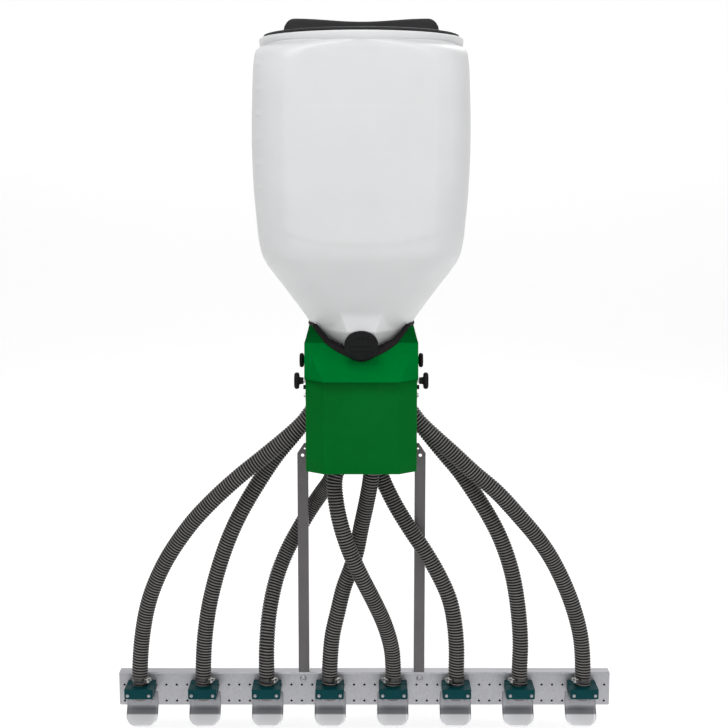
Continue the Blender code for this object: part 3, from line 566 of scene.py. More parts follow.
HOSE_RADIUS = 0.019
RIB_PITCH = 0.0068
RIB_SAMPLES = 8
HOSE_SIDES = 28
CLIP_Z = -0.6405
MANIFOLD_TOP = 0.0512
SIDE_SPIGOT = (0.0805, MANIFOLD_TOP - 0.0125)
SPIGOT_LENGTH = 0.018
MANIFOLD_BOTTOM = -0.062
LEAN = math.radians(22)
HOSES = [
    ((-SIDE_SPIGOT[0], -0.040, SIDE_SPIGOT[1]), (-1, 0, -1), [
        (-0.151, -0.039, -0.032), (-0.215, -0.034, -0.087), (-0.285, -0.028, -0.145), (-0.351, -0.018, -0.208),
        (-0.403, -0.008, -0.268), (-0.461, 0.004, -0.357), (-0.499, 0.012, -0.447), (-0.518, 0.017, -0.537)]),
    ((-SIDE_SPIGOT[0], 0.024, SIDE_SPIGOT[1]), (-1, 0, -1), [
        (-0.147, 0.022, -0.041), (-0.195, 0.020, -0.099), (-0.233, 0.019, -0.155), (-0.286, 0.018, -0.246),
        (-0.323, 0.018, -0.333), (-0.356, 0.018, -0.449), (-0.370, 0.0175, -0.537)]),
    ((-0.036, 0.020, MANIFOLD_BOTTOM), (-math.sin(LEAN), 0, -math.cos(LEAN)), [
        (-0.071, 0.044, -0.163), (-0.094, 0.078, -0.203), (-0.118, 0.099, -0.243), (-0.148, 0.103, -0.295),
        (-0.178, 0.099, -0.350), (-0.203, 0.078, -0.412), (-0.219, 0.045, -0.487), (-0.2245, 0.022, -0.560)]),
    ((0.024, -0.040, MANIFOLD_BOTTOM), (0, 0, -1), [
        (0.021, -0.034, -0.148), (0.011, -0.020, -0.208), (-0.001, -0.006, -0.268), (-0.012, 0.003, -0.328),
        (-0.026, 0.008, -0.373), (-0.042, 0.013, -0.418), (-0.056, 0.016, -0.478), (-0.069, 0.0175, -0.537)]),
    ((-0.048, -0.040, MANIFOLD_BOTTOM), (0, 0, -1), [
        (-0.061, -0.046, -0.145), (-0.057, -0.050, -0.200), (-0.045, -0.050, -0.257), (-0.026, -0.046, -0.315),
        (-0.001, -0.037, -0.374), (0.028, -0.021, -0.437), (0.054, -0.002, -0.501), (0.071, 0.012, -0.565)]),
    ((0.012, 0.020, MANIFOLD_BOTTOM), (math.sin(LEAN), 0, -math.cos(LEAN)), [
        (0.050, 0.020, -0.160), (0.078, 0.020, -0.218), (0.112, 0.020, -0.275), (0.150, 0.020, -0.333),
        (0.183, 0.020, -0.391), (0.208, 0.019, -0.449), (0.220, 0.018, -0.508), (0.225, 0.0175, -0.567)]),
    ((SIDE_SPIGOT[0], 0.024, SIDE_SPIGOT[1]), (1, 0, -1), [
        (0.147, 0.022, -0.041), (0.194, 0.020, -0.099), (0.229, 0.019, -0.141), (0.262, 0.019, -0.189),
        (0.298, 0.018, -0.246), (0.327, 0.018, -0.3035), (0.353, 0.018, -0.380), (0.368, 0.018, -0.460),
        (0.376, 0.0175, -0.550)]),
    ((SIDE_SPIGOT[0], -0.040, SIDE_SPIGOT[1]), (1, 0, -1), [
        (0.151, -0.039, -0.032), (0.212, -0.034, -0.088), (0.256, -0.030, -0.130), (0.311, -0.024, -0.178),
        (0.364, -0.016, -0.237), (0.413, -0.006, -0.297), (0.451, 0.004, -0.357), (0.492, 0.012, -0.447),
        (0.518, 0.017, -0.537)]),
]


def smooth_route(points, spacing):
    """Evenly spaced points of a smooth curve through all the given ones."""
    padded = [2 * points[0] - points[1], *points, 2 * points[-1] - points[-2]]
    fine = []
    for p0, p1, p2, p3 in zip(padded, padded[1:], padded[2:], padded[3:]):
        k0, k1, k2 = [math.sqrt((b - a).length) for a, b in ((p0, p1), (p1, p2), (p2, p3))]
        m1 = (p1 - p0) / k0 * k1 - (p2 - p0) / (k0 + k1) * k1 + (p2 - p1)
        m2 = (p2 - p1) - (p3 - p1) / (k1 + k2) * k1 + (p3 - p2) / k2 * k1
        for step in range(40):
            t = step / 40
            fine.append((2 * t**3 - 3 * t**2 + 1) * p1 + (t**3 - 2 * t**2 + t) * m1
                        + (3 * t**2 - 2 * t**3) * p2 + (t**3 - t**2) * m2)
    fine.append(points[-1])
    path = np.array([list(p) for p in fine])
    for _ in range(60):
        path[2:-2] += 0.5 * ((path[1:-3] + path[3:-1]) / 2 - path[2:-2])
    travel = np.concatenate([[0], np.cumsum(np.linalg.norm(np.diff(path, axis=0), axis=1))])
    count = int(round(travel[-1] / spacing)) + 1
    want = np.linspace(0, travel[-1], count)
    return np.stack([np.interp(want, travel, path[:, k]) for k in range(3)], axis=1), travel[-1]


def hose_rings(path, spacing):
    """Rings of points round a path, their radius following the hose's spiral rib."""
    ahead = np.gradient(path, axis=0)
    ahead /= np.linalg.norm(ahead, axis=1)[:, None]
    normal = np.array([0.0, -1.0, 0.0])
    rings, heights = [], []
    angles = np.arange(HOSE_SIDES) * 2 * math.pi / HOSE_SIDES
    for i, (point, way) in enumerate(zip(path, ahead)):
        normal = normal - way * normal.dot(way)
        normal /= np.linalg.norm(normal)
        side = np.cross(way, normal)
        phase = 2 * math.pi * i * spacing / RIB_PITCH + angles
        wave = 0.5 + 0.5 * np.cos(phase)
        height = wave**0.7
        radius = HOSE_RADIUS - 0.0022 * (1 - height)
        ring = point + radius[:, None] * (np.cos(angles)[:, None] * normal + np.sin(angles)[:, None] * side)
        rings.append(ring)
        heights.append(height)
    return np.array(rings), np.array(heights)


def make_hose(index):
    base, way, route = HOSES[index]
    way = Vector(way).normalized()
    base = Vector(base)
    start = base + 0.006 * way
    seam = base + (SPIGOT_LENGTH + GAP) * way
    end = Vector((OUTLETS_X[index], OUTLET_Y, CLAMP_TOP + 0.0012))
    points = [start, seam, seam + 0.018 * way, *map(Vector, route), end + Vector((0, 0, 0.040)), end]
    spacing = RIB_PITCH / RIB_SAMPLES
    path, length = smooth_route(points, spacing)
    rings, heights = hose_rings(path, spacing)
    inner = HOSE_RADIUS - 0.0030
    inside = []
    for k in [*range(0, len(path), 12), len(path) - 1]:
        out = rings[k] - path[k]
        inside.append(path[k] + out / np.linalg.norm(out, axis=1)[:, None] * inner)
    verts = np.concatenate([rings.reshape(-1, 3), np.array(inside).reshape(-1, 3)])
    verts[:, 1] += AXIS_Y
    n, sides = len(path), HOSE_SIDES
    faces = []
    i, j = np.meshgrid(np.arange(n - 1), np.arange(sides), indexing="ij")
    i, j = i.ravel(), j.ravel()
    k = (j + 1) % sides
    faces += np.stack([i * sides + j, i * sides + k, (i + 1) * sides + k, (i + 1) * sides + j], 1).tolist()
    first = n * sides
    m = len(inside)
    i, j = np.meshgrid(np.arange(m - 1), np.arange(sides), indexing="ij")
    i, j = i.ravel(), j.ravel()
    k = (j + 1) % sides
    faces += np.stack([first + i * sides + j, first + (i + 1) * sides + j, first + (i + 1) * sides + k,
                       first + i * sides + k], 1).tolist()
    for j in range(sides):
        k = (j + 1) % sides
        faces.append((j, first + j, first + k, k))
        a, b = (n - 1) * sides, first + (m - 1) * sides
        faces.append((a + j, a + k, b + k, b + j))
    name = f"ribbed_hose_{index + 1}"
    mesh = bpy.data.meshes.new(name)
    mesh.from_pydata(verts.tolist(), [], faces)
    layer = mesh.color_attributes.new("rib", "FLOAT_COLOR", "POINT")
    colour = np.ones((len(verts), 4))
    shown = np.concatenate([heights.ravel(), np.zeros(len(inside) * sides)])
    colour[:, :3] = shown[:, None]
    layer.data.foreach_set("color", colour.ravel().astype(np.float32))
    mesh.shade_smooth()
    hose = link(bpy.data.objects.new(name, mesh))
    finish_piece(hose, "machine", HOSE, [f"hose_{index + 1}"])
    rows = path.copy()
    rows[:, 1] += AXIS_Y


# ---------------------------------------------------------------- hopper

HOPPER_SECTIONS = [
    (0.840, 0.2225, 0.2225), (0.8385, 0.2250, 0.2250), (0.8355, 0.2257, 0.2257), (0.829, 0.2252, 0.2252),
    (0.8235, 0.2240, 0.2240), (0.8212, 0.2236, 0.222), (0.8195, 0.2238, 0.214), (0.8165, 0.2243, 0.190),
    (0.812, 0.2253, 0.156), (0.805, 0.2264, 0.127), (0.796, 0.2271, 0.107), (0.785, 0.2278, 0.095),
    (0.755, 0.2297, 0.086), (0.700, 0.2315, 0.085),
    (0.655, 0.2326, 0.085), (0.612, 0.2328, 0.085), (0.560, 0.2317, 0.085), (0.512, 0.2297, 0.085),
    (0.460, 0.2257, 0.085), (0.414, 0.2217, 0.085), (0.390, 0.2183, 0.085), (0.370, 0.2131, 0.086),
    (0.354, 0.2058, 0.088), (0.340, 0.1977, 0.093), (0.328, 0.1903, 0.099), (0.300, 0.1714, 0.104),
    (0.260, 0.1449, 0.106), (0.219, 0.1175, 0.105), (0.180, 0.0858, 0.0815), (0.142, 0.0540, 0.0540),
    (0.137, 0.0508, 0.0508), (0.1303, 0.0500, 0.0500),
]


def rounded_square(half, corner, angle):
    """Distance from the middle to the edge of a rounded square in one direction."""
    folded = np.abs((angle + math.pi / 4) % (math.pi / 2) - math.pi / 4)
    inner = half - corner
    flat = half / np.cos(folded)
    across = inner * (np.cos(folded) - np.sin(folded))
    curved = inner * (np.cos(folded) + np.sin(folded)) + np.sqrt(np.maximum(corner**2 - across**2, 0))
    return np.where(half * np.tan(folded) <= inner, flat, curved)


def hermite(values, at, want):
    """Smooth values at the wanted heights, through the given ones."""
    order = np.argsort(at)
    at, values = np.array(at)[order], np.array(values)[order]
    slopes = np.gradient(values, at)
    step = np.diff(values) / np.diff(at)
    for i in range(1, len(at) - 1):
        if step[i - 1] * step[i] <= 0:
            slopes[i] = 0
        else:
            slopes[i] = 2 * step[i - 1] * step[i] / (step[i - 1] + step[i])
    k = np.clip(np.searchsorted(at, want) - 1, 0, len(at) - 2)
    width = at[k + 1] - at[k]
    t = (want - at[k]) / width
    return ((2 * t**3 - 3 * t**2 + 1) * values[k] + (t**3 - 2 * t**2 + t) * slopes[k] * width
            + (3 * t**2 - 2 * t**3) * values[k + 1] + (t**3 - t**2) * slopes[k + 1] * width)


def smooth_step(value, low, high):
    t = np.clip((value - low) / (high - low), 0, 1)
    return t * t * (3 - 2 * t)


def hopper_surface(angles, z):
    """Outer surface points for a grid of heights and directions."""
    at = [s[0] for s in HOPPER_SECTIONS]
    half = hermite([s[1] for s in HOPPER_SECTIONS], at, z)[:, None]
    corner = np.minimum(hermite([s[2] for s in HOPPER_SECTIONS], at, z)[:, None], half)
    reach = rounded_square(half, corner, angles[None, :])
    x = reach * np.cos(angles)[None, :]
    y = reach * np.sin(angles)[None, :]
    zz = np.repeat(z[:, None], len(angles), axis=1)
    body = smooth_step(zz, 0.345, 0.372) * (1 - smooth_step(zz, 0.780, 0.800))
    # A shallow raised panel with a rounded lower end on the front and back
    lower = 0.398 + 0.030 * (np.abs(x) / 0.165) ** 3
    inset = 0.165 - np.abs(x)
    inside = smooth_step(inset, -0.004, 0.004) * smooth_step(zz - lower, -0.006, 0.006) * body
    y += np.sign(y) * 0.0014 * inside * (np.abs(y) > 0.6 * np.abs(x))
    # A faint moulded step across the front
    step = smooth_step(zz, 0.6855, 0.6885) * body * smooth_step(0.128 - np.abs(x), 0, 0.008)
    y += np.where(y < 0, 1, -1) * 0.0006 * step
    # The litre scale's raised ticks near the front left corner
    for number in range(8):
        tick = 0.775 - number * 0.0515
        near = np.exp(-(((x + 0.2140) / 0.0065) ** 2) - ((zz - tick) / 0.0042) ** 2)
        y -= 0.0020 * near * (y < 0)
        x -= 0.0020 * near * (y < 0)
    # The drain boss: an upright face that grows out of the cone
    face_y = -0.1346 + (zz - 0.251) * 0.057
    face_half = 0.053 - (0.251 - zz) * 0.34
    out = np.maximum(np.abs(x) - face_half + 0.007, 0)
    boss = face_y + out * 1.3 + np.maximum(0.2035 - zz, 0) * 1.3
    k = 0.007
    blend = np.clip(0.5 + 0.5 * (boss - y) / k, 0, 1)
    merged = boss * (1 - blend) + y * blend - k * blend * (1 - blend)
    y = np.where((y < 0) & (zz < 0.30), merged, y)
    return x, y, zz


def make_hopper():
    sides = 288
    angles = np.arange(sides) * 2 * math.pi / sides
    z = np.concatenate([
        [0.840, 0.8395, 0.8385, 0.8370, 0.8350],
        np.linspace(0.832, 0.8245, 5), np.linspace(0.8235, 0.800, 30), np.linspace(0.797, 0.700, 26),
        np.linspace(0.6970, 0.6790, 10), np.linspace(0.675, 0.382, 72), np.linspace(0.378, 0.320, 20),
        np.linspace(0.316, 0.262, 14), np.linspace(0.2595, 0.176, 36), np.linspace(0.172, 0.1303, 10)])
    x, y, zz = hopper_surface(angles, z)
    rings = [np.stack([x[i], y[i], zz[i]], 1) for i in range(len(z))]
    wall = 0.004
    inner_z = [0.840, 0.8393, 0.8285, 0.8278, 0.79, 0.70, 0.60, 0.50, 0.414, 0.373, 0.350, 0.328, 0.26, 0.219,
               0.176, 0.142, 0.1303]
    inner = []
    for k, height in enumerate(inner_z):
        if k < 3:
            reach = np.full(sides, (0.199, 0.198, 0.198)[k])
        else:
            a = np.array([height])
            at = [s[0] for s in HOPPER_SECTIONS]
            half = hermite([s[1] for s in HOPPER_SECTIONS], at, a)[0] - wall
            corner = hermite([s[2] for s in HOPPER_SECTIONS], at, a)[0] - wall
            reach = rounded_square(half, min(corner, half), angles)
        inner.append(np.stack([reach * np.cos(angles), reach * np.sin(angles), np.full(sides, height)], 1))
    bm = bmesh.new()
    grid_faces(bm, list(reversed(inner)) + rings)
    bm.verts.ensure_lookup_table()
    low_inner = [bm.verts[i] for i in range(sides)]
    total = len(bm.verts)
    low_outer = [bm.verts[total - sides + i] for i in range(sides)]
    for i in range(sides):
        j = (i + 1) % sides
        bm.faces.new((low_outer[i], low_inner[i], low_inner[j], low_outer[j]))
    bmesh.ops.recalc_face_normals(bm, faces=bm.faces)
    hopper = object_from("hopper_shell", bm, 50)
    finish_piece(hopper, "machine", HOPPER, ["hopper"])
    neck = lathe([(0.0245, 0.0155), (0.031, 0.0155), (0.032, 0.0145), (0.032, 0.004), (0.0335, 0.003), (0.0335, 0.001),
                  (0.032, 0.0), (0.033, -0.012), (0.036, -0.030), (0.026, -0.030), (0.0245, 0.0155)],
                 64, DRAIN_AXIS, DRAIN_PLACE)
    finish_piece(object_from("drain_neck", neck), "machine", HOPPER)


# ---------------------------------------------------------------- lid and drain cap


def make_lid():
    top = 0.8483
    profile = [(0.0, 0.8475), (0.060, 0.8477), (0.150, top - 0.0004), (0.196, top), (0.206, top),
               (0.2120, top - 0.0004), (0.2150, top - 0.0014), (0.216, top - 0.0030), (0.2158, 0.8432),
               (0.2148, 0.8423), (0.1940, 0.8423),
               (0.1935, 0.841), (0.1935, 0.817), (0.1925, 0.815), (0.1900, 0.815), (0.1895, 0.817), (0.1895, 0.8418),
               (0.0, 0.8418)]
    plate = lathe(profile, 160)
    ridge = lathe([(0.187, top - 0.0002), (0.1875, top + 0.0012), (0.190, top + 0.0016), (0.1925, top + 0.0012),
                   (0.193, top - 0.0002), (0.187, top - 0.0002)], 160)
    lid = object_from("lid_plate", merge(plate, ridge), 35)
    finish_piece(lid, "lid", LID, ["lid"])
    count = 72
    rings = []
    for i in range(count + 1):
        u = -1 + 2 * i / count
        x = 0.174 * math.sin(u * math.pi / 2) if abs(u) > 0.999 else 0.174 * u
        a = abs(x)
        saddle = 0.8770 + 0.0065 * (1 - math.cos(math.pi * min(a / 0.146, 1))) / 2
        if a > 0.146:
            t = (a - 0.146) / 0.028
            saddle = 0.8835 - 0.0370 * (1 - math.sqrt(max(1 - t**2.2, 0)))
        half = 0.0225 + 0.002 * (a / 0.174) ** 2
        if a > 0.150:
            half *= math.sqrt(max(1 - ((a - 0.150) / 0.0265) ** 2, 0.04))
        base = 0.8478
        edge = min(0.006, (saddle - base) * 0.45)
        row = [(-half - 0.004, base), (-half - 0.001, base + edge * 0.3), (-half, base + edge)]
        for k in range(5):
            angle = math.pi / 2 * k / 4
            row.append((-half + edge * (1 - math.cos(angle)), saddle - edge + edge * math.sin(angle)))
        row += [(0.0, saddle - 0.0006)]
        row += [(-y, z) for y, z in reversed(row[:-1])]
        rings.append([(x, y, z) for y, z in row])
    bm = bmesh.new()
    loops = grid_faces(bm, rings, closed=False)
    for loop in (loops[0], loops[-1]):
        bm.faces.new(loop)
    bm.faces.new([loop[0] for loop in loops] + [loop[-1] for loop in reversed(loops)])
    bmesh.ops.recalc_face_normals(bm, faces=bm.faces)
    finish_piece(object_from("lid_grip", bm, 45), "lid", LID)


def make_drain_cap():
    def knurl(angle, index):
        if index not in (3, 4, 5, 6):
            return 1.0
        return 1.0 - 0.034 * (0.5 - 0.5 * math.cos(angle * 40)) ** 3

    profile = [(0.0, 0.0212), (0.026, 0.0212), (0.0270, 0.0220), (0.0335, 0.0220), (0.0360, 0.0212), (0.0369, 0.0195),
               (0.0370, 0.0045), (0.0370, 0.0035), (0.0362, 0.0005), (0.0350, 0.0), (0.0330, 0.0), (0.0326, 0.0006),
               (0.0326, 0.0180), (0.0, 0.0180)]
    cap = lathe(profile, 288, DRAIN_AXIS, DRAIN_PLACE, knurl)
    parts = [cap]
    for side in (-1, 1):
        bar = extrude_outline([(-0.022, side * 0.007 - 0.0012), (0.022, side * 0.007 - 0.0012),
                               (0.022, side * 0.007 + 0.0012), (-0.022, side * 0.007 + 0.0012)], 0.0208, 0.0219)
        bevelled(bar, 0.0004, 2)
        bmesh.ops.transform(bar, matrix=aim(DRAIN_AXIS, DRAIN_PLACE), verts=bar.verts)
        parts.append(bar)
    finish_piece(object_from("drain_cap_grip", merge(*parts), 35), "drain_cap", CAP, ["drain_cap"])


# ---------------------------------------------------------------- housing

ARC_HALF, ARC_BOTTOM, HOOD_TOP, COLLAR_TOP = 0.0774, 0.142, 0.175, 0.212
ARC_WING, ARC_END = 0.0299, 0.1073
LIP_HEIGHT, LIP_FRONT, SHOULDER_FRONT = 0.0935, -0.1325, -0.0875
COLLAR_RADIUS = 0.117


def arc_height(x):
    """Height of the front edge at x: an arc under the drain cap, then up along the hopper."""
    a = abs(x)
    if a <= ARC_HALF:
        return ARC_BOTTOM + (HOOD_TOP - ARC_BOTTOM) * (a / ARC_HALF) ** 1.6
    return HOOD_TOP + (a - ARC_HALF) / ARC_WING * (COLLAR_TOP - HOOD_TOP)


def plan(corners, counts, height):
    points = []
    for i, count in enumerate(counts):
        (x0, y0), (x1, y1) = corners[i], corners[(i + 1) % len(corners)]
        for k in range(count):
            part = k / count
            points.append(Vector((x0 + (x1 - x0) * part, y0 + (y1 - y0) * part, height)))
    return points


def make_hood():
    """Bent sheet whose columns run from the lip up to the front arc or the collar."""
    counts = [26, 2, 64, 2, 26, 36]
    lip = plan([(-0.127, 0.1645), (-0.127, -0.0885), (-0.084, LIP_FRONT),
                (0.084, LIP_FRONT), (0.127, -0.0885), (0.127, 0.1645)], counts, LIP_HEIGHT)
    shoulder = plan([(-0.1265, 0.1645), (-0.1265, -0.0873), (-0.1235, SHOULDER_FRONT),
                     (0.1235, SHOULDER_FRONT), (0.1265, -0.0873), (0.1265, 0.1645)], counts, HOOD_TOP)
    lower, upper = 8, 6
    columns = []
    for low, mid in zip(lip, shoulder):
        angle = math.atan2(mid.y, mid.x)
        top = Vector((COLLAR_RADIUS * math.cos(angle), COLLAR_RADIUS * math.sin(angle), COLLAR_TOP))

        def at(z, low=low, mid=mid, top=top):
            if z <= HOOD_TOP:
                return low.lerp(mid, (z - low.z) / (HOOD_TOP - low.z))
            return mid.lerp(top, (z - HOOD_TOP) / (COLLAR_TOP - HOOD_TOP))

        end = COLLAR_TOP
        if mid.y < -0.080:
            for _ in range(12):
                end = 0.5 * (end + min(COLLAR_TOP, arc_height(at(end).x)))
        bend = min(end, HOOD_TOP)
        heights = [low.z + (bend - low.z) * k / lower for k in range(lower + 1)]
        heights += [bend + (end - bend) * k / upper for k in range(1, upper + 1)]
        columns.append([at(z) for z in heights])
    bm = bmesh.new()
    grid_faces(bm, [[column[k] for column in columns] for k in range(lower + upper + 1)])
    bmesh.ops.remove_doubles(bm, verts=bm.verts, dist=1e-6)
    bmesh.ops.dissolve_degenerate(bm, edges=bm.edges, dist=1e-7)
    face_outwards(bm)
    shell = object_from("hood_shell", bm, 22)
    thicken(shell, SHEET, even=False)
    soften(shell, 0.0007, 22)
    finish_piece(shell, "machine", HOOD_GREEN, ["hood"])


def hood_front_y(x, z):
    """Where the hood's front sheet is at a height, for the trim."""
    if z <= HOOD_TOP:
        t = (z - LIP_HEIGHT) / (HOOD_TOP - LIP_HEIGHT)
        return LIP_FRONT + t * (SHOULDER_FRONT - LIP_FRONT)
    t = (z - HOOD_TOP) / (COLLAR_TOP - HOOD_TOP)
    start = Vector((math.copysign(min(abs(x), 0.1235), x), SHOULDER_FRONT))
    angle = math.atan2(start.y, start.x)
    end = Vector((COLLAR_RADIUS * math.cos(angle), COLLAR_RADIUS * math.sin(angle)))
    return start.lerp(end, t).y


CHANNEL = [(0.0026, -0.0045), (0.0042, -0.0020), (0.0042, 0.0020), (0.0028, 0.0044), (0.0, 0.0052), (-0.0028, 0.0044),
           (-0.0042, 0.0020), (-0.0042, -0.0020), (-0.0026, -0.0045)]
SKIRT = [(0.0016, -0.0042), (0.0034, -0.0034), (0.0046, -0.0010), (0.0044, 0.0024), (0.0022, 0.0070),
         (-0.0030, 0.0112), (-0.0100, 0.0140), (-0.0120, 0.0136), (-0.0112, 0.0118), (-0.0050, 0.0080),
         (-0.0032, 0.0020), (-0.0030, -0.0042)]


def trim_strip(name, points, outward, section, raised, scale=None):
    """A ribbed rubber strip along an edge, its section given as front and outward offsets."""
    bm = bmesh.new()
    rings = []
    for i, p in enumerate(points):
        ahead = (points[min(i + 1, len(points) - 1)] - points[max(i - 1, 0)]).normalized()
        out = outward[i].normalized()
        down = ahead.cross(out).normalized()
        rib = 0.0007 * (i % 2)
        size = scale(p) if scale else 1.0
        rings.append([p + (down * (a - (rib if k in raised else 0)) + out * b) * size
                      for k, (a, b) in enumerate(section)])
    loops = grid_faces(bm, rings)
    bm.faces.new(loops[0])
    bm.faces.new(list(reversed(loops[-1])))
    bmesh.ops.recalc_face_normals(bm, faces=bm.faces)
    return object_from(name, bm, 55)


def make_trim():
    points, ways = [], []
    steps = 150
    for i in range(steps + 1):
        x = -ARC_END + 2 * ARC_END * i / steps
        z = arc_height(x)
        points.append(Vector((x, hood_front_y(x, min(z, COLLAR_TOP)) + 0.0008, z + 0.0005)))
    for i, p in enumerate(points):
        ahead = points[min(i + 1, steps)] - points[max(i - 1, 0)]
        side = Vector((0, 1, 0)).cross(ahead.normalized())
        if side.z < 0:
            side.negate()
        ways.append(side)

    def taper(p):
        return 1.0 - 0.42 * float(smooth_step(abs(p.x), 0.050, 0.100))

    finish_piece(trim_strip("hood_edge_trim", points, ways, SKIRT, (2, 3, 4, 5), taper), "machine", TRIM)
    points, ways = [], []
    for i in range(181):
        angle = math.radians(-27 + 234 * i / 180)
        radial = Vector((math.cos(angle), math.sin(angle), 0))
        points.append(0.1162 * radial + Vector((0, 0, COLLAR_TOP)))
        ways.append(Vector((0, 0, 1)) - 0.25 * radial)
    finish_piece(trim_strip("collar_trim", points, ways, CHANNEL, (2, 3, 4, 5, 6)), "machine", TRIM)


def bent_sheet(path, low, high):
    """An upright sheet along a rounded plan path."""
    bm = bmesh.new()
    rows = 6
    grid = [[bm.verts.new((p.x, p.y, low + (high - low) * k / rows)) for p in path] for k in range(rows + 1)]
    for a, b in zip(grid, grid[1:]):
        for i in range(len(path) - 1):
            bm.faces.new((a[i], a[i + 1], b[i + 1], b[i]))
    return bm


def make_front_cover():
    outline = [(-0.1245, -0.066, 0), (-0.1245, -0.0865, 0), (-0.084, -0.1185, 0),
               (0.084, -0.1185, 0), (0.1245, -0.0865, 0), (0.1245, -0.066, 0)]
    path = rounded(outline, 0.006, 6)
    bm = bent_sheet(path, -0.116, 0.0955)
    face_outwards(bm)
    cover = object_from("front_cover_sheet", bm, 60)
    thicken(cover, SHEET)
    soften(cover, 0.0006, 50)
    finish_piece(cover, "cover", SHADED_COVER_GREEN, ["front_cover"])


def make_knob(name, body, node, side, place, radius, near, far):
    """A clamping knob: a disc with a scalloped rim, its boss and a zinc stud."""
    def grip(angle, index):
        if index not in (3, 4, 5):
            return 1.0
        return 1.0 - 0.045 * (0.5 - 0.5 * math.cos(angle * 6))

    depth = far - near
    profile = [(0.0, far - 0.0012), (radius * 0.45, far - 0.0010), (radius * 0.80, far),
               (radius * 0.95, far - depth * 0.18), (radius, far - depth * 0.45),
               (radius * 0.96, near + depth * 0.22), (radius * 0.80, near),
               (0.0088, near - 0.0005), (0.0078, near - 0.004), (0.0075, 0.1290), (0.0, 0.1290)]
    disc = object_from(f"{name}_grip", lathe(profile, 96, (side, 0, 0), place, grip), 40)
    finish_piece(disc, body, BLACK, [node])
    stud = lathe([(0, 0.1300), (0.0040, 0.1300), (0.0040, 0.1172), (0.0034, 0.1165), (0, 0.1165)], 28,
                 (side, 0, 0), place)
    finish_piece(object_from(f"{name}_stud", stud), body, SCREW)


def make_knobs():
    for side, word in ((-1, "left"), (1, "right")):
        make_knob(f"cover_knob_{word}_piece", f"{word}_cover_knob", f"cover_knob_{word}", side,
                  Vector((0, -0.076, 0.0885)), 0.0195, 0.1385, 0.1495)
        make_knob(f"hood_knob_{word}_piece", f"{word}_hood_knob", f"hood_knob_{word}", side,
                  Vector((0, -0.030, 0.1285)), 0.0170, 0.1300, 0.1395)


# ---------------------------------------------------------------- bar, struts and outlets


def make_bar():
    """The perforated web as a filled outline with its holes, and the bent top flange."""
    curve = bpy.data.curves.new("web", "CURVE")
    curve.dimensions = "2D"
    curve.fill_mode = "BOTH"
    curve.extrude = BAR_SHEET / 2
    bend = 0.004
    top = BAR_TOP - bend

    def loop(points):
        spline = curve.splines.new("POLY")
        spline.points.add(len(points) - 1)
        for target, (x, y) in zip(spline.points, points):
            target.co = (x, y, 0, 1)
        spline.use_cyclic_u = True

    left, right = BAR_SHIFT - BAR_HALF, BAR_SHIFT + BAR_HALF
    corner = rounded([(left, top, 0), (left, BAR_BOTTOM, 0), (right, BAR_BOTTOM, 0), (right, top, 0)], 0.003, 3)
    loop([(p.x, p.y) for p in corner])
    for x, z in BAR_HOLES:
        loop([(x + HOLE_RADIUS * math.cos(a), z + HOLE_RADIUS * math.sin(a))
              for a in (2 * math.pi * k / 16 for k in range(16))])
    source = link(bpy.data.objects.new("web", curve))
    graph = bpy.context.evaluated_depsgraph_get()
    mesh = bpy.data.meshes.new_from_object(source.evaluated_get(graph))
    bpy.data.objects.remove(source)
    web = bmesh.new()
    web.from_mesh(mesh)
    bmesh.ops.remove_doubles(web, verts=web.verts, dist=1e-5)
    matrix = Matrix.Translation((0, BAR_FRONT + BAR_SHEET / 2, 0)) @ Matrix.Rotation(math.pi / 2, 4, "X")
    bmesh.ops.transform(web, matrix=matrix, verts=web.verts)
    bmesh.ops.recalc_face_normals(web, faces=web.faces)
    outer, inner = [], []
    back = BAR_FRONT + BAR_FLANGE
    outer.append((BAR_FRONT, top - 0.0001))
    for k in range(7):
        a = math.pi / 2 * k / 6
        outer.append((BAR_FRONT + bend * (1 - math.cos(a)), top + bend * math.sin(a)))
    outer.append((back - 0.0004, BAR_TOP))
    outer.append((back, BAR_TOP - 0.0004))
    inner.append((back, BAR_TOP - BAR_SHEET + 0.0004))
    inner.append((back - 0.0004, BAR_TOP - BAR_SHEET))
    small = bend - BAR_SHEET
    for k in range(6, -1, -1):
        a = math.pi / 2 * k / 6
        inner.append((BAR_FRONT + BAR_SHEET + small * (1 - math.cos(a)), top + small * math.sin(a)))
    inner.append((BAR_FRONT + BAR_SHEET, top - 0.0001))
    section = outer + inner
    pieces = [web]
    notch_in, notch_out = 0.1247, 0.1513
    spans = [(left, -notch_out, False), (-notch_out, -notch_in, True), (-notch_in, notch_in, False),
             (notch_in, notch_out, True), (notch_out, right, False)]
    for near, far, notched in spans:
        shape = section
        if notched:
            limit = BAR_FRONT + BAR_SHEET
            shape = [(min(y, limit), z) for y, z in section]
        bm = bmesh.new()
        rings = [[(x, y, z) for y, z in shape] for x in (near, far)]
        loops = grid_faces(bm, rings)
        for end in (loops[0], list(reversed(loops[-1]))):
            try:
                bm.faces.new(end)
            except ValueError:
                pass
        bmesh.ops.remove_doubles(bm, verts=bm.verts, dist=1e-6)
        bmesh.ops.dissolve_degenerate(bm, edges=bm.edges, dist=1e-7)
        bmesh.ops.recalc_face_normals(bm, faces=bm.faces)
        pieces.append(bm)
    finish_piece(object_from("perforated_bar", merge(*pieces), 35), "machine", ZINC, ["distribution_bar"])
    # Painted shade: dark discs set in the bar's holes, standing for the shade seen through them.
    hole_fill = [(0, 0.0008), (0.0022, 0.0007), (HOLE_RADIUS, 0.0003), (HOLE_RADIUS, -0.0009), (0, -0.0009)]
    hole_fills = [lathe(hole_fill, 16, (0, -1, 0), (x, BAR_FRONT + BAR_SHEET / 2, z)) for x, z in BAR_HOLES]
    finish_piece(object_from("bar_hole_dark_fills", merge(*hole_fills)), "machine", RUBBER)


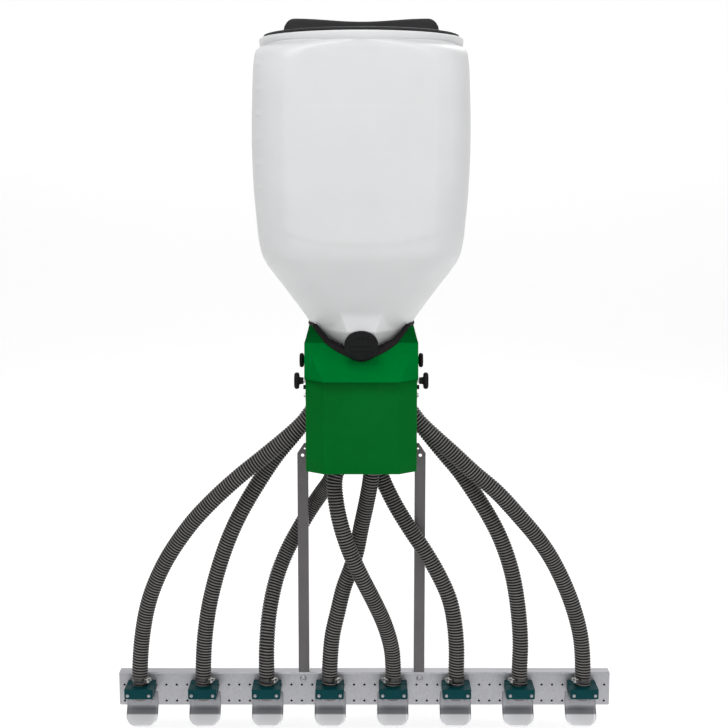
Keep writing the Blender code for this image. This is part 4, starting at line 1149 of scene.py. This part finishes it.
def make_struts():
    thick = 0.004
    front = BAR_FRONT + BAR_SHEET + GAP
    for side, word in ((-1, "left"), (1, "right")):
        outline = [(0.1255, front), (0.1505, front), (0.1505, front + thick), (0.1255 + thick + 0.002, front + thick),
                   (0.1255 + thick, front + thick + 0.002), (0.1255 + thick, front + 0.025), (0.1255, front + 0.025)]
        outline = rounded([(x, y, 0) for x, y in outline], 0.0012, 3, closed=True)
        bm = extrude_outline([(side * p.x, p.y) for p in outline], -0.705, -0.079)
        strut = object_from(f"angle_strut_{word}", bm, 30)
        corner = extrude_outline([(side * x, z) for x, z in ((0.1605, -0.118), (0.1605, -0.064), (0.1245, -0.064))],
                                 -(front + 0.05), -(front - 0.02), Matrix.Rotation(math.pi / 2, 4, "X"))
        holes = [corner]
        for x, z, radius in ((0.1380, -0.108, 0.0040), (0.1330, -0.092, 0.0024)):
            holes.append(lathe([(0, 0.02), (radius, 0.02), (radius, -0.02), (0, -0.02)], 24, (0, 1, 0),
                               (side * x, front + 0.002, z)))
        cut_away(strut, holes, 30)
        finish_piece(strut, "machine", SHADED_STRUT_ZINC, [f"strut_{word}"])
        bolt = merge(pan_screw((side * 0.1395, BAR_FRONT, -0.6525), (0, -1, 0), 0.0078, 0.0036),
                     hex_bolt((side * 0.1395, front + thick, -0.6515), (0, 1, 0), 0.010, 0.0050, 0.0070, 0.003))
        finish_piece(object_from(f"strut_bolt_{word}", bolt), "machine", ZINC)


def clamp_half(x, low, high, corner):
    """One half of a pipe clamp, a block with rounded corners and edges."""
    left, right = x - CLAMP_SIZE[0] / 2, x + CLAMP_SIZE[0] / 2
    outline = rounded([(left, low, 0), (right, low, 0), (right, high, 0), (left, high, 0)], corner, 6, closed=True)
    bm = extrude_outline([(p.x, p.y) for p in outline], CLAMP_TOP - CLAMP_SIZE[2], CLAMP_TOP)
    return bevelled(bm, 0.0016, 3, 40)


def make_clamps():
    deep = CLAMP_SIZE[1]
    back = BAR_FRONT - GAP
    split = OUTLET_Y
    for number, x in enumerate(OUTLETS_X, 1):
        halves = merge(clamp_half(x, back - deep, split - 0.0006, 0.0060),
                       clamp_half(x, split + 0.0006, back, 0.0030))
        clamp = object_from(f"clamp_halves_{number}", halves, 35)
        bore = lathe([(0, 0.05), (CLAMP_BORE, 0.05), (CLAMP_BORE, -0.05), (0, -0.05)], 48,
                     place=(x, OUTLET_Y, CLAMP_TOP - CLAMP_SCREW_DROP))
        cut_away(clamp, [bore], 35)
        finish_piece(clamp, "machine", TEAL, [f"pipe_clamp_{number}"])
        screws = []
        for side in (-1, 1):
            place = (x + side * SCREW_APART, back - deep, CLAMP_TOP - CLAMP_SCREW_DROP)
            screws.append(hex_bolt(place, (0, -1, 0), 0.0052, 0.0026, 0.0038))
        finish_piece(object_from(f"clamp_screws_{number}", merge(*screws)), "machine", ZINC)


def make_pipes():
    for number, x in enumerate(OUTLETS_X, 1):
        profile = [(0.0135, -0.6435), (0.0138, -0.643), (0.0152, -0.643), (0.0155, -0.6435), (0.0155, -0.6915),
                   (0.0152, -0.692), (0.0138, -0.692), (0.0135, -0.6915), (0.0135, -0.6435)]
        pipe = object_from(f"outlet_tube_{number}", lathe(profile, 48, place=(x, OUTLET_Y, 0)), 40)
        finish_piece(pipe, "machine", PIPE, [f"outlet_pipe_{number}"])


def make_deflectors():
    sheet = 0.0014
    tilt = math.radians(32)
    face = BAR_FRONT - GAP - sheet
    bend_z, top = -0.7195, CLAMP_TOP - CLAMP_SIZE[2] - 0.006
    length, half, corner = 0.050, 0.0375, 0.026
    for number, x in enumerate(OUTLETS_X, 1):
        side_profile = [(face, top), (face, bend_z + 0.003)]
        for k in range(1, 6):
            a = tilt * k / 5
            side_profile.append((face - 0.0055 * (1 - math.cos(a)), bend_z + 0.003 - 0.0055 * math.sin(a)))
        start_y, start_z = side_profile[-1]
        flat = length - 0.0005
        steps = 16
        for k in range(1, steps + 1):
            s = flat * k / steps
            side_profile.append((start_y - s * math.sin(tilt), start_z - s * math.cos(tilt)))
        bm = bmesh.new()
        rings = []
        first_flat = len(side_profile) - steps
        for index, (y, z) in enumerate(side_profile):
            width = half
            if index >= first_flat:
                s = flat * (index - first_flat + 1) / steps
                into = s - (length - corner)
                if into > 0:
                    width = half - corner + math.sqrt(max(corner**2 - into**2, 0))
            elif index == 0:
                width = half - 0.001
            columns = 12
            rings.append([(x - width + 2 * width * c / columns, y, z) for c in range(columns + 1)])
        grid_faces(bm, rings, closed=False)
        bmesh.ops.recalc_face_normals(bm, faces=bm.faces)
        if sum(f.normal.y for f in bm.faces) > 0:
            bmesh.ops.reverse_faces(bm, faces=bm.faces)
        plate = object_from(f"deflector_plate_{number}", bm, 60)
        thicken(plate, sheet)
        finish_piece(plate, "machine", BRIGHT, [f"deflector_{number}"])
        places = [(x - SCREW_APART, BAR_BOTTOM + 0.010), (x + SCREW_APART, BAR_BOTTOM + 0.010)]
        bolts = [pan_screw((px, face, pz), (0, -1, 0), 0.0042, 0.0022) for px, pz in places]
        bolts += [hex_bolt((px, BAR_FRONT + BAR_SHEET, pz), (0, 1, 0), 0.008, 0.0035, 0.0055, 0.003)
                  for px, pz in places]
        finish_piece(object_from(f"deflector_bolts_{number}", merge(*bolts)), "machine", ZINC)


def make_clips():
    """A worm-drive clip round the foot of each hose."""
    band_radius, width = 0.0196, 0.009
    for number, x in enumerate(OUTLETS_X, 1):
        toward = 1 if x < 0 else -1
        z = CLIP_Z
        band = lathe([(band_radius - 0.0006, z + width / 2), (band_radius, z + width / 2 - 0.0003),
                      (band_radius + 0.0001, z + width / 2 - 0.0006), (band_radius + 0.0001, z - width / 2 + 0.0006),
                      (band_radius, z - width / 2 + 0.0003), (band_radius - 0.0006, z - width / 2),
                      (band_radius - 0.0006, z + width / 2)], 72, place=(x, OUTLET_Y, 0))
        direction = Vector((toward * 0.75, -0.66, 0)).normalized()
        tangent = Vector((-direction.y, direction.x, 0)) * toward
        house_place = Vector((x, OUTLET_Y, z)) + direction * (band_radius + 0.0042)
        house = extrude_outline([(-0.0055, -0.0042), (0.0055, -0.0042), (0.0055, 0.0042), (-0.0055, 0.0042)],
                                -0.0058, 0.0058)
        bevelled(house, 0.0014, 3)
        basis = Matrix((
            (tangent.x, direction.x, 0, house_place.x),
            (tangent.y, direction.y, 0, house_place.y),
            (tangent.z, direction.z, 1, house_place.z),
            (0, 0, 0, 1)))
        bmesh.ops.transform(house, matrix=basis, verts=house.verts)
        screw_place = house_place + tangent * 0.0055 + direction * 0.0004
        screw = hex_bolt(screw_place, tangent, 0.0065, 0.0050, 0.0046)
        tail = extrude_outline([(-0.010, -0.0003), (0.0, -0.0003), (0.0, 0.0004), (-0.010, 0.0004)], -0.0042, 0.0042)
        bmesh.ops.transform(tail, matrix=basis @ Matrix.Translation((-0.004, 0.0040, 0)), verts=tail.verts)
        whole = merge(house, screw)
        bmesh.ops.recalc_face_normals(whole, faces=whole.faces)
        finish_piece(object_from(f"hose_clip_screw_{number}", whole), "machine", CLIP)
        finish_piece(object_from(f"hose_clip_band_{number}", merge(band, tail)), "machine", BAND)


# ---------------------------------------------------------------- small housing parts


# Along Y and Z on each side plate
SIDE_SCREWS = [(-0.070, 0.054), (0.140, 0.150), (0.140, -0.098), (0.140, 0.020), (0.095, 0.0535), (0.075, -0.085)]


def make_side_fasteners():
    for side, word in ((-1, "left"), (1, "right")):
        bolt = hex_bolt((side * 0.1245, -0.075, 0.0555), (side, 0, 0), 0.0080, 0.0034, 0.0060)
        finish_piece(object_from(f"cover_bolt_{word}", bolt), "cover", SCREW)
        tab = extrude_outline([(-0.0045, 0.0695), (0.0045, 0.0695), (0.0045, 0.0785), (-0.0045, 0.0785)], 0, 0.0052)
        bevelled(tab, 0.0010)
        against_side = Matrix(((0, 0, side, side * 0.1244), (1, 0, 0, -0.076), (0, 1, 0, 0), (0, 0, 0, 1)))
        bmesh.ops.transform(tab, matrix=against_side, verts=tab.verts)
        bmesh.ops.recalc_face_normals(tab, faces=tab.faces)
        finish_piece(object_from(f"cover_stop_{word}", tab), "cover", BLACK)
        outer = side * 0.1215
        parts = []
        for y, z in SIDE_SCREWS:
            parts.append(pan_screw((outer, y, z), (side, 0, 0), 0.0048, 0.0026))
        finish_piece(object_from(f"side_screws_{word}", merge(*parts)), "machine", SCREW)


def make_rear_fasteners():
    bolts = []
    for sx in (-1, 1):
        for sz in (-1, 1):
            bolts.append(hex_bolt((sx * 0.1075, 0.1617, sz * 0.095 + 0.022), (0, 1, 0), 0.010, 0.0045, 0.0065))
    finish_piece(object_from("rear_plate_bolts", merge(*bolts)), "machine", SCREW)


def make_motor_details():
    """The gear motor's end cap, and the screws of the gear motor and the blower's casing."""
    cap = lathe([(0, 0.1164), (0.012, 0.1164), (0.0172, 0.1155), (0.0178, 0.1145), (0.0178, 0.0985), (0.0172, 0.098),
                 (0, 0.098)], 48, (1, 0, 0), (0, 0, 0.076))
    finish_piece(object_from("gear_motor_end_cap", cap), "machine", BLACK)
    screws = []
    for k in range(4):
        a = math.pi / 4 + math.pi / 2 * k
        place = (0.0590, 0.0165 * math.cos(a), 0.076 + 0.0165 * math.sin(a))
        screws.append(pan_screw(place, (-1, 0, 0), 0.0022, 0.0012))
    for k in range(6):
        a = math.pi / 3 * k
        place = (0.069 * math.cos(a), 0.105, 0.040 + 0.069 * math.sin(a))
        screws.append(pan_screw(place, (0, 1, 0), 0.0028, 0.0016))
    finish_piece(object_from("casing_screws", merge(*screws)), "machine", SCREW)


CAD_LOOKS = {
    "lid_seal": RUBBER, "drain_seal": RUBBER, "side_plate_left": GREEN, "side_plate_right": GREEN, "rear_plate": GREEN,
    "mounting_plate": ZINC, "metering_housing": GREY, "metering_roller": PIPE, "roller_gear": BLACK,
    "agitator": SCREW, "agitator_gear": BLACK, "gear_motor": MOTOR, "outlet_manifold": GREY, "blower_housing": GREY,
    "blower_impeller": PIPE, "blower_motor": MOTOR,
}


def dress_cad_nodes():
    for name, mat in CAD_LOOKS.items():
        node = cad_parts[name]
        for slot in node.material_slots:
            slot.material = mat
        if not node.material_slots:
            node.data.materials.append(mat)


make_camera()
for hose_index in range(len(HOSES)):
    make_hose(hose_index)
make_studio()
make_hopper()
make_lid()
make_drain_cap()
make_hood()
make_trim()
make_front_cover()
make_knobs()
make_bar()
make_struts()
make_clamps()
make_pipes()
make_deflectors()
make_clips()
make_side_fasteners()
make_rear_fasteners()
make_motor_details()
dress_cad_nodes()
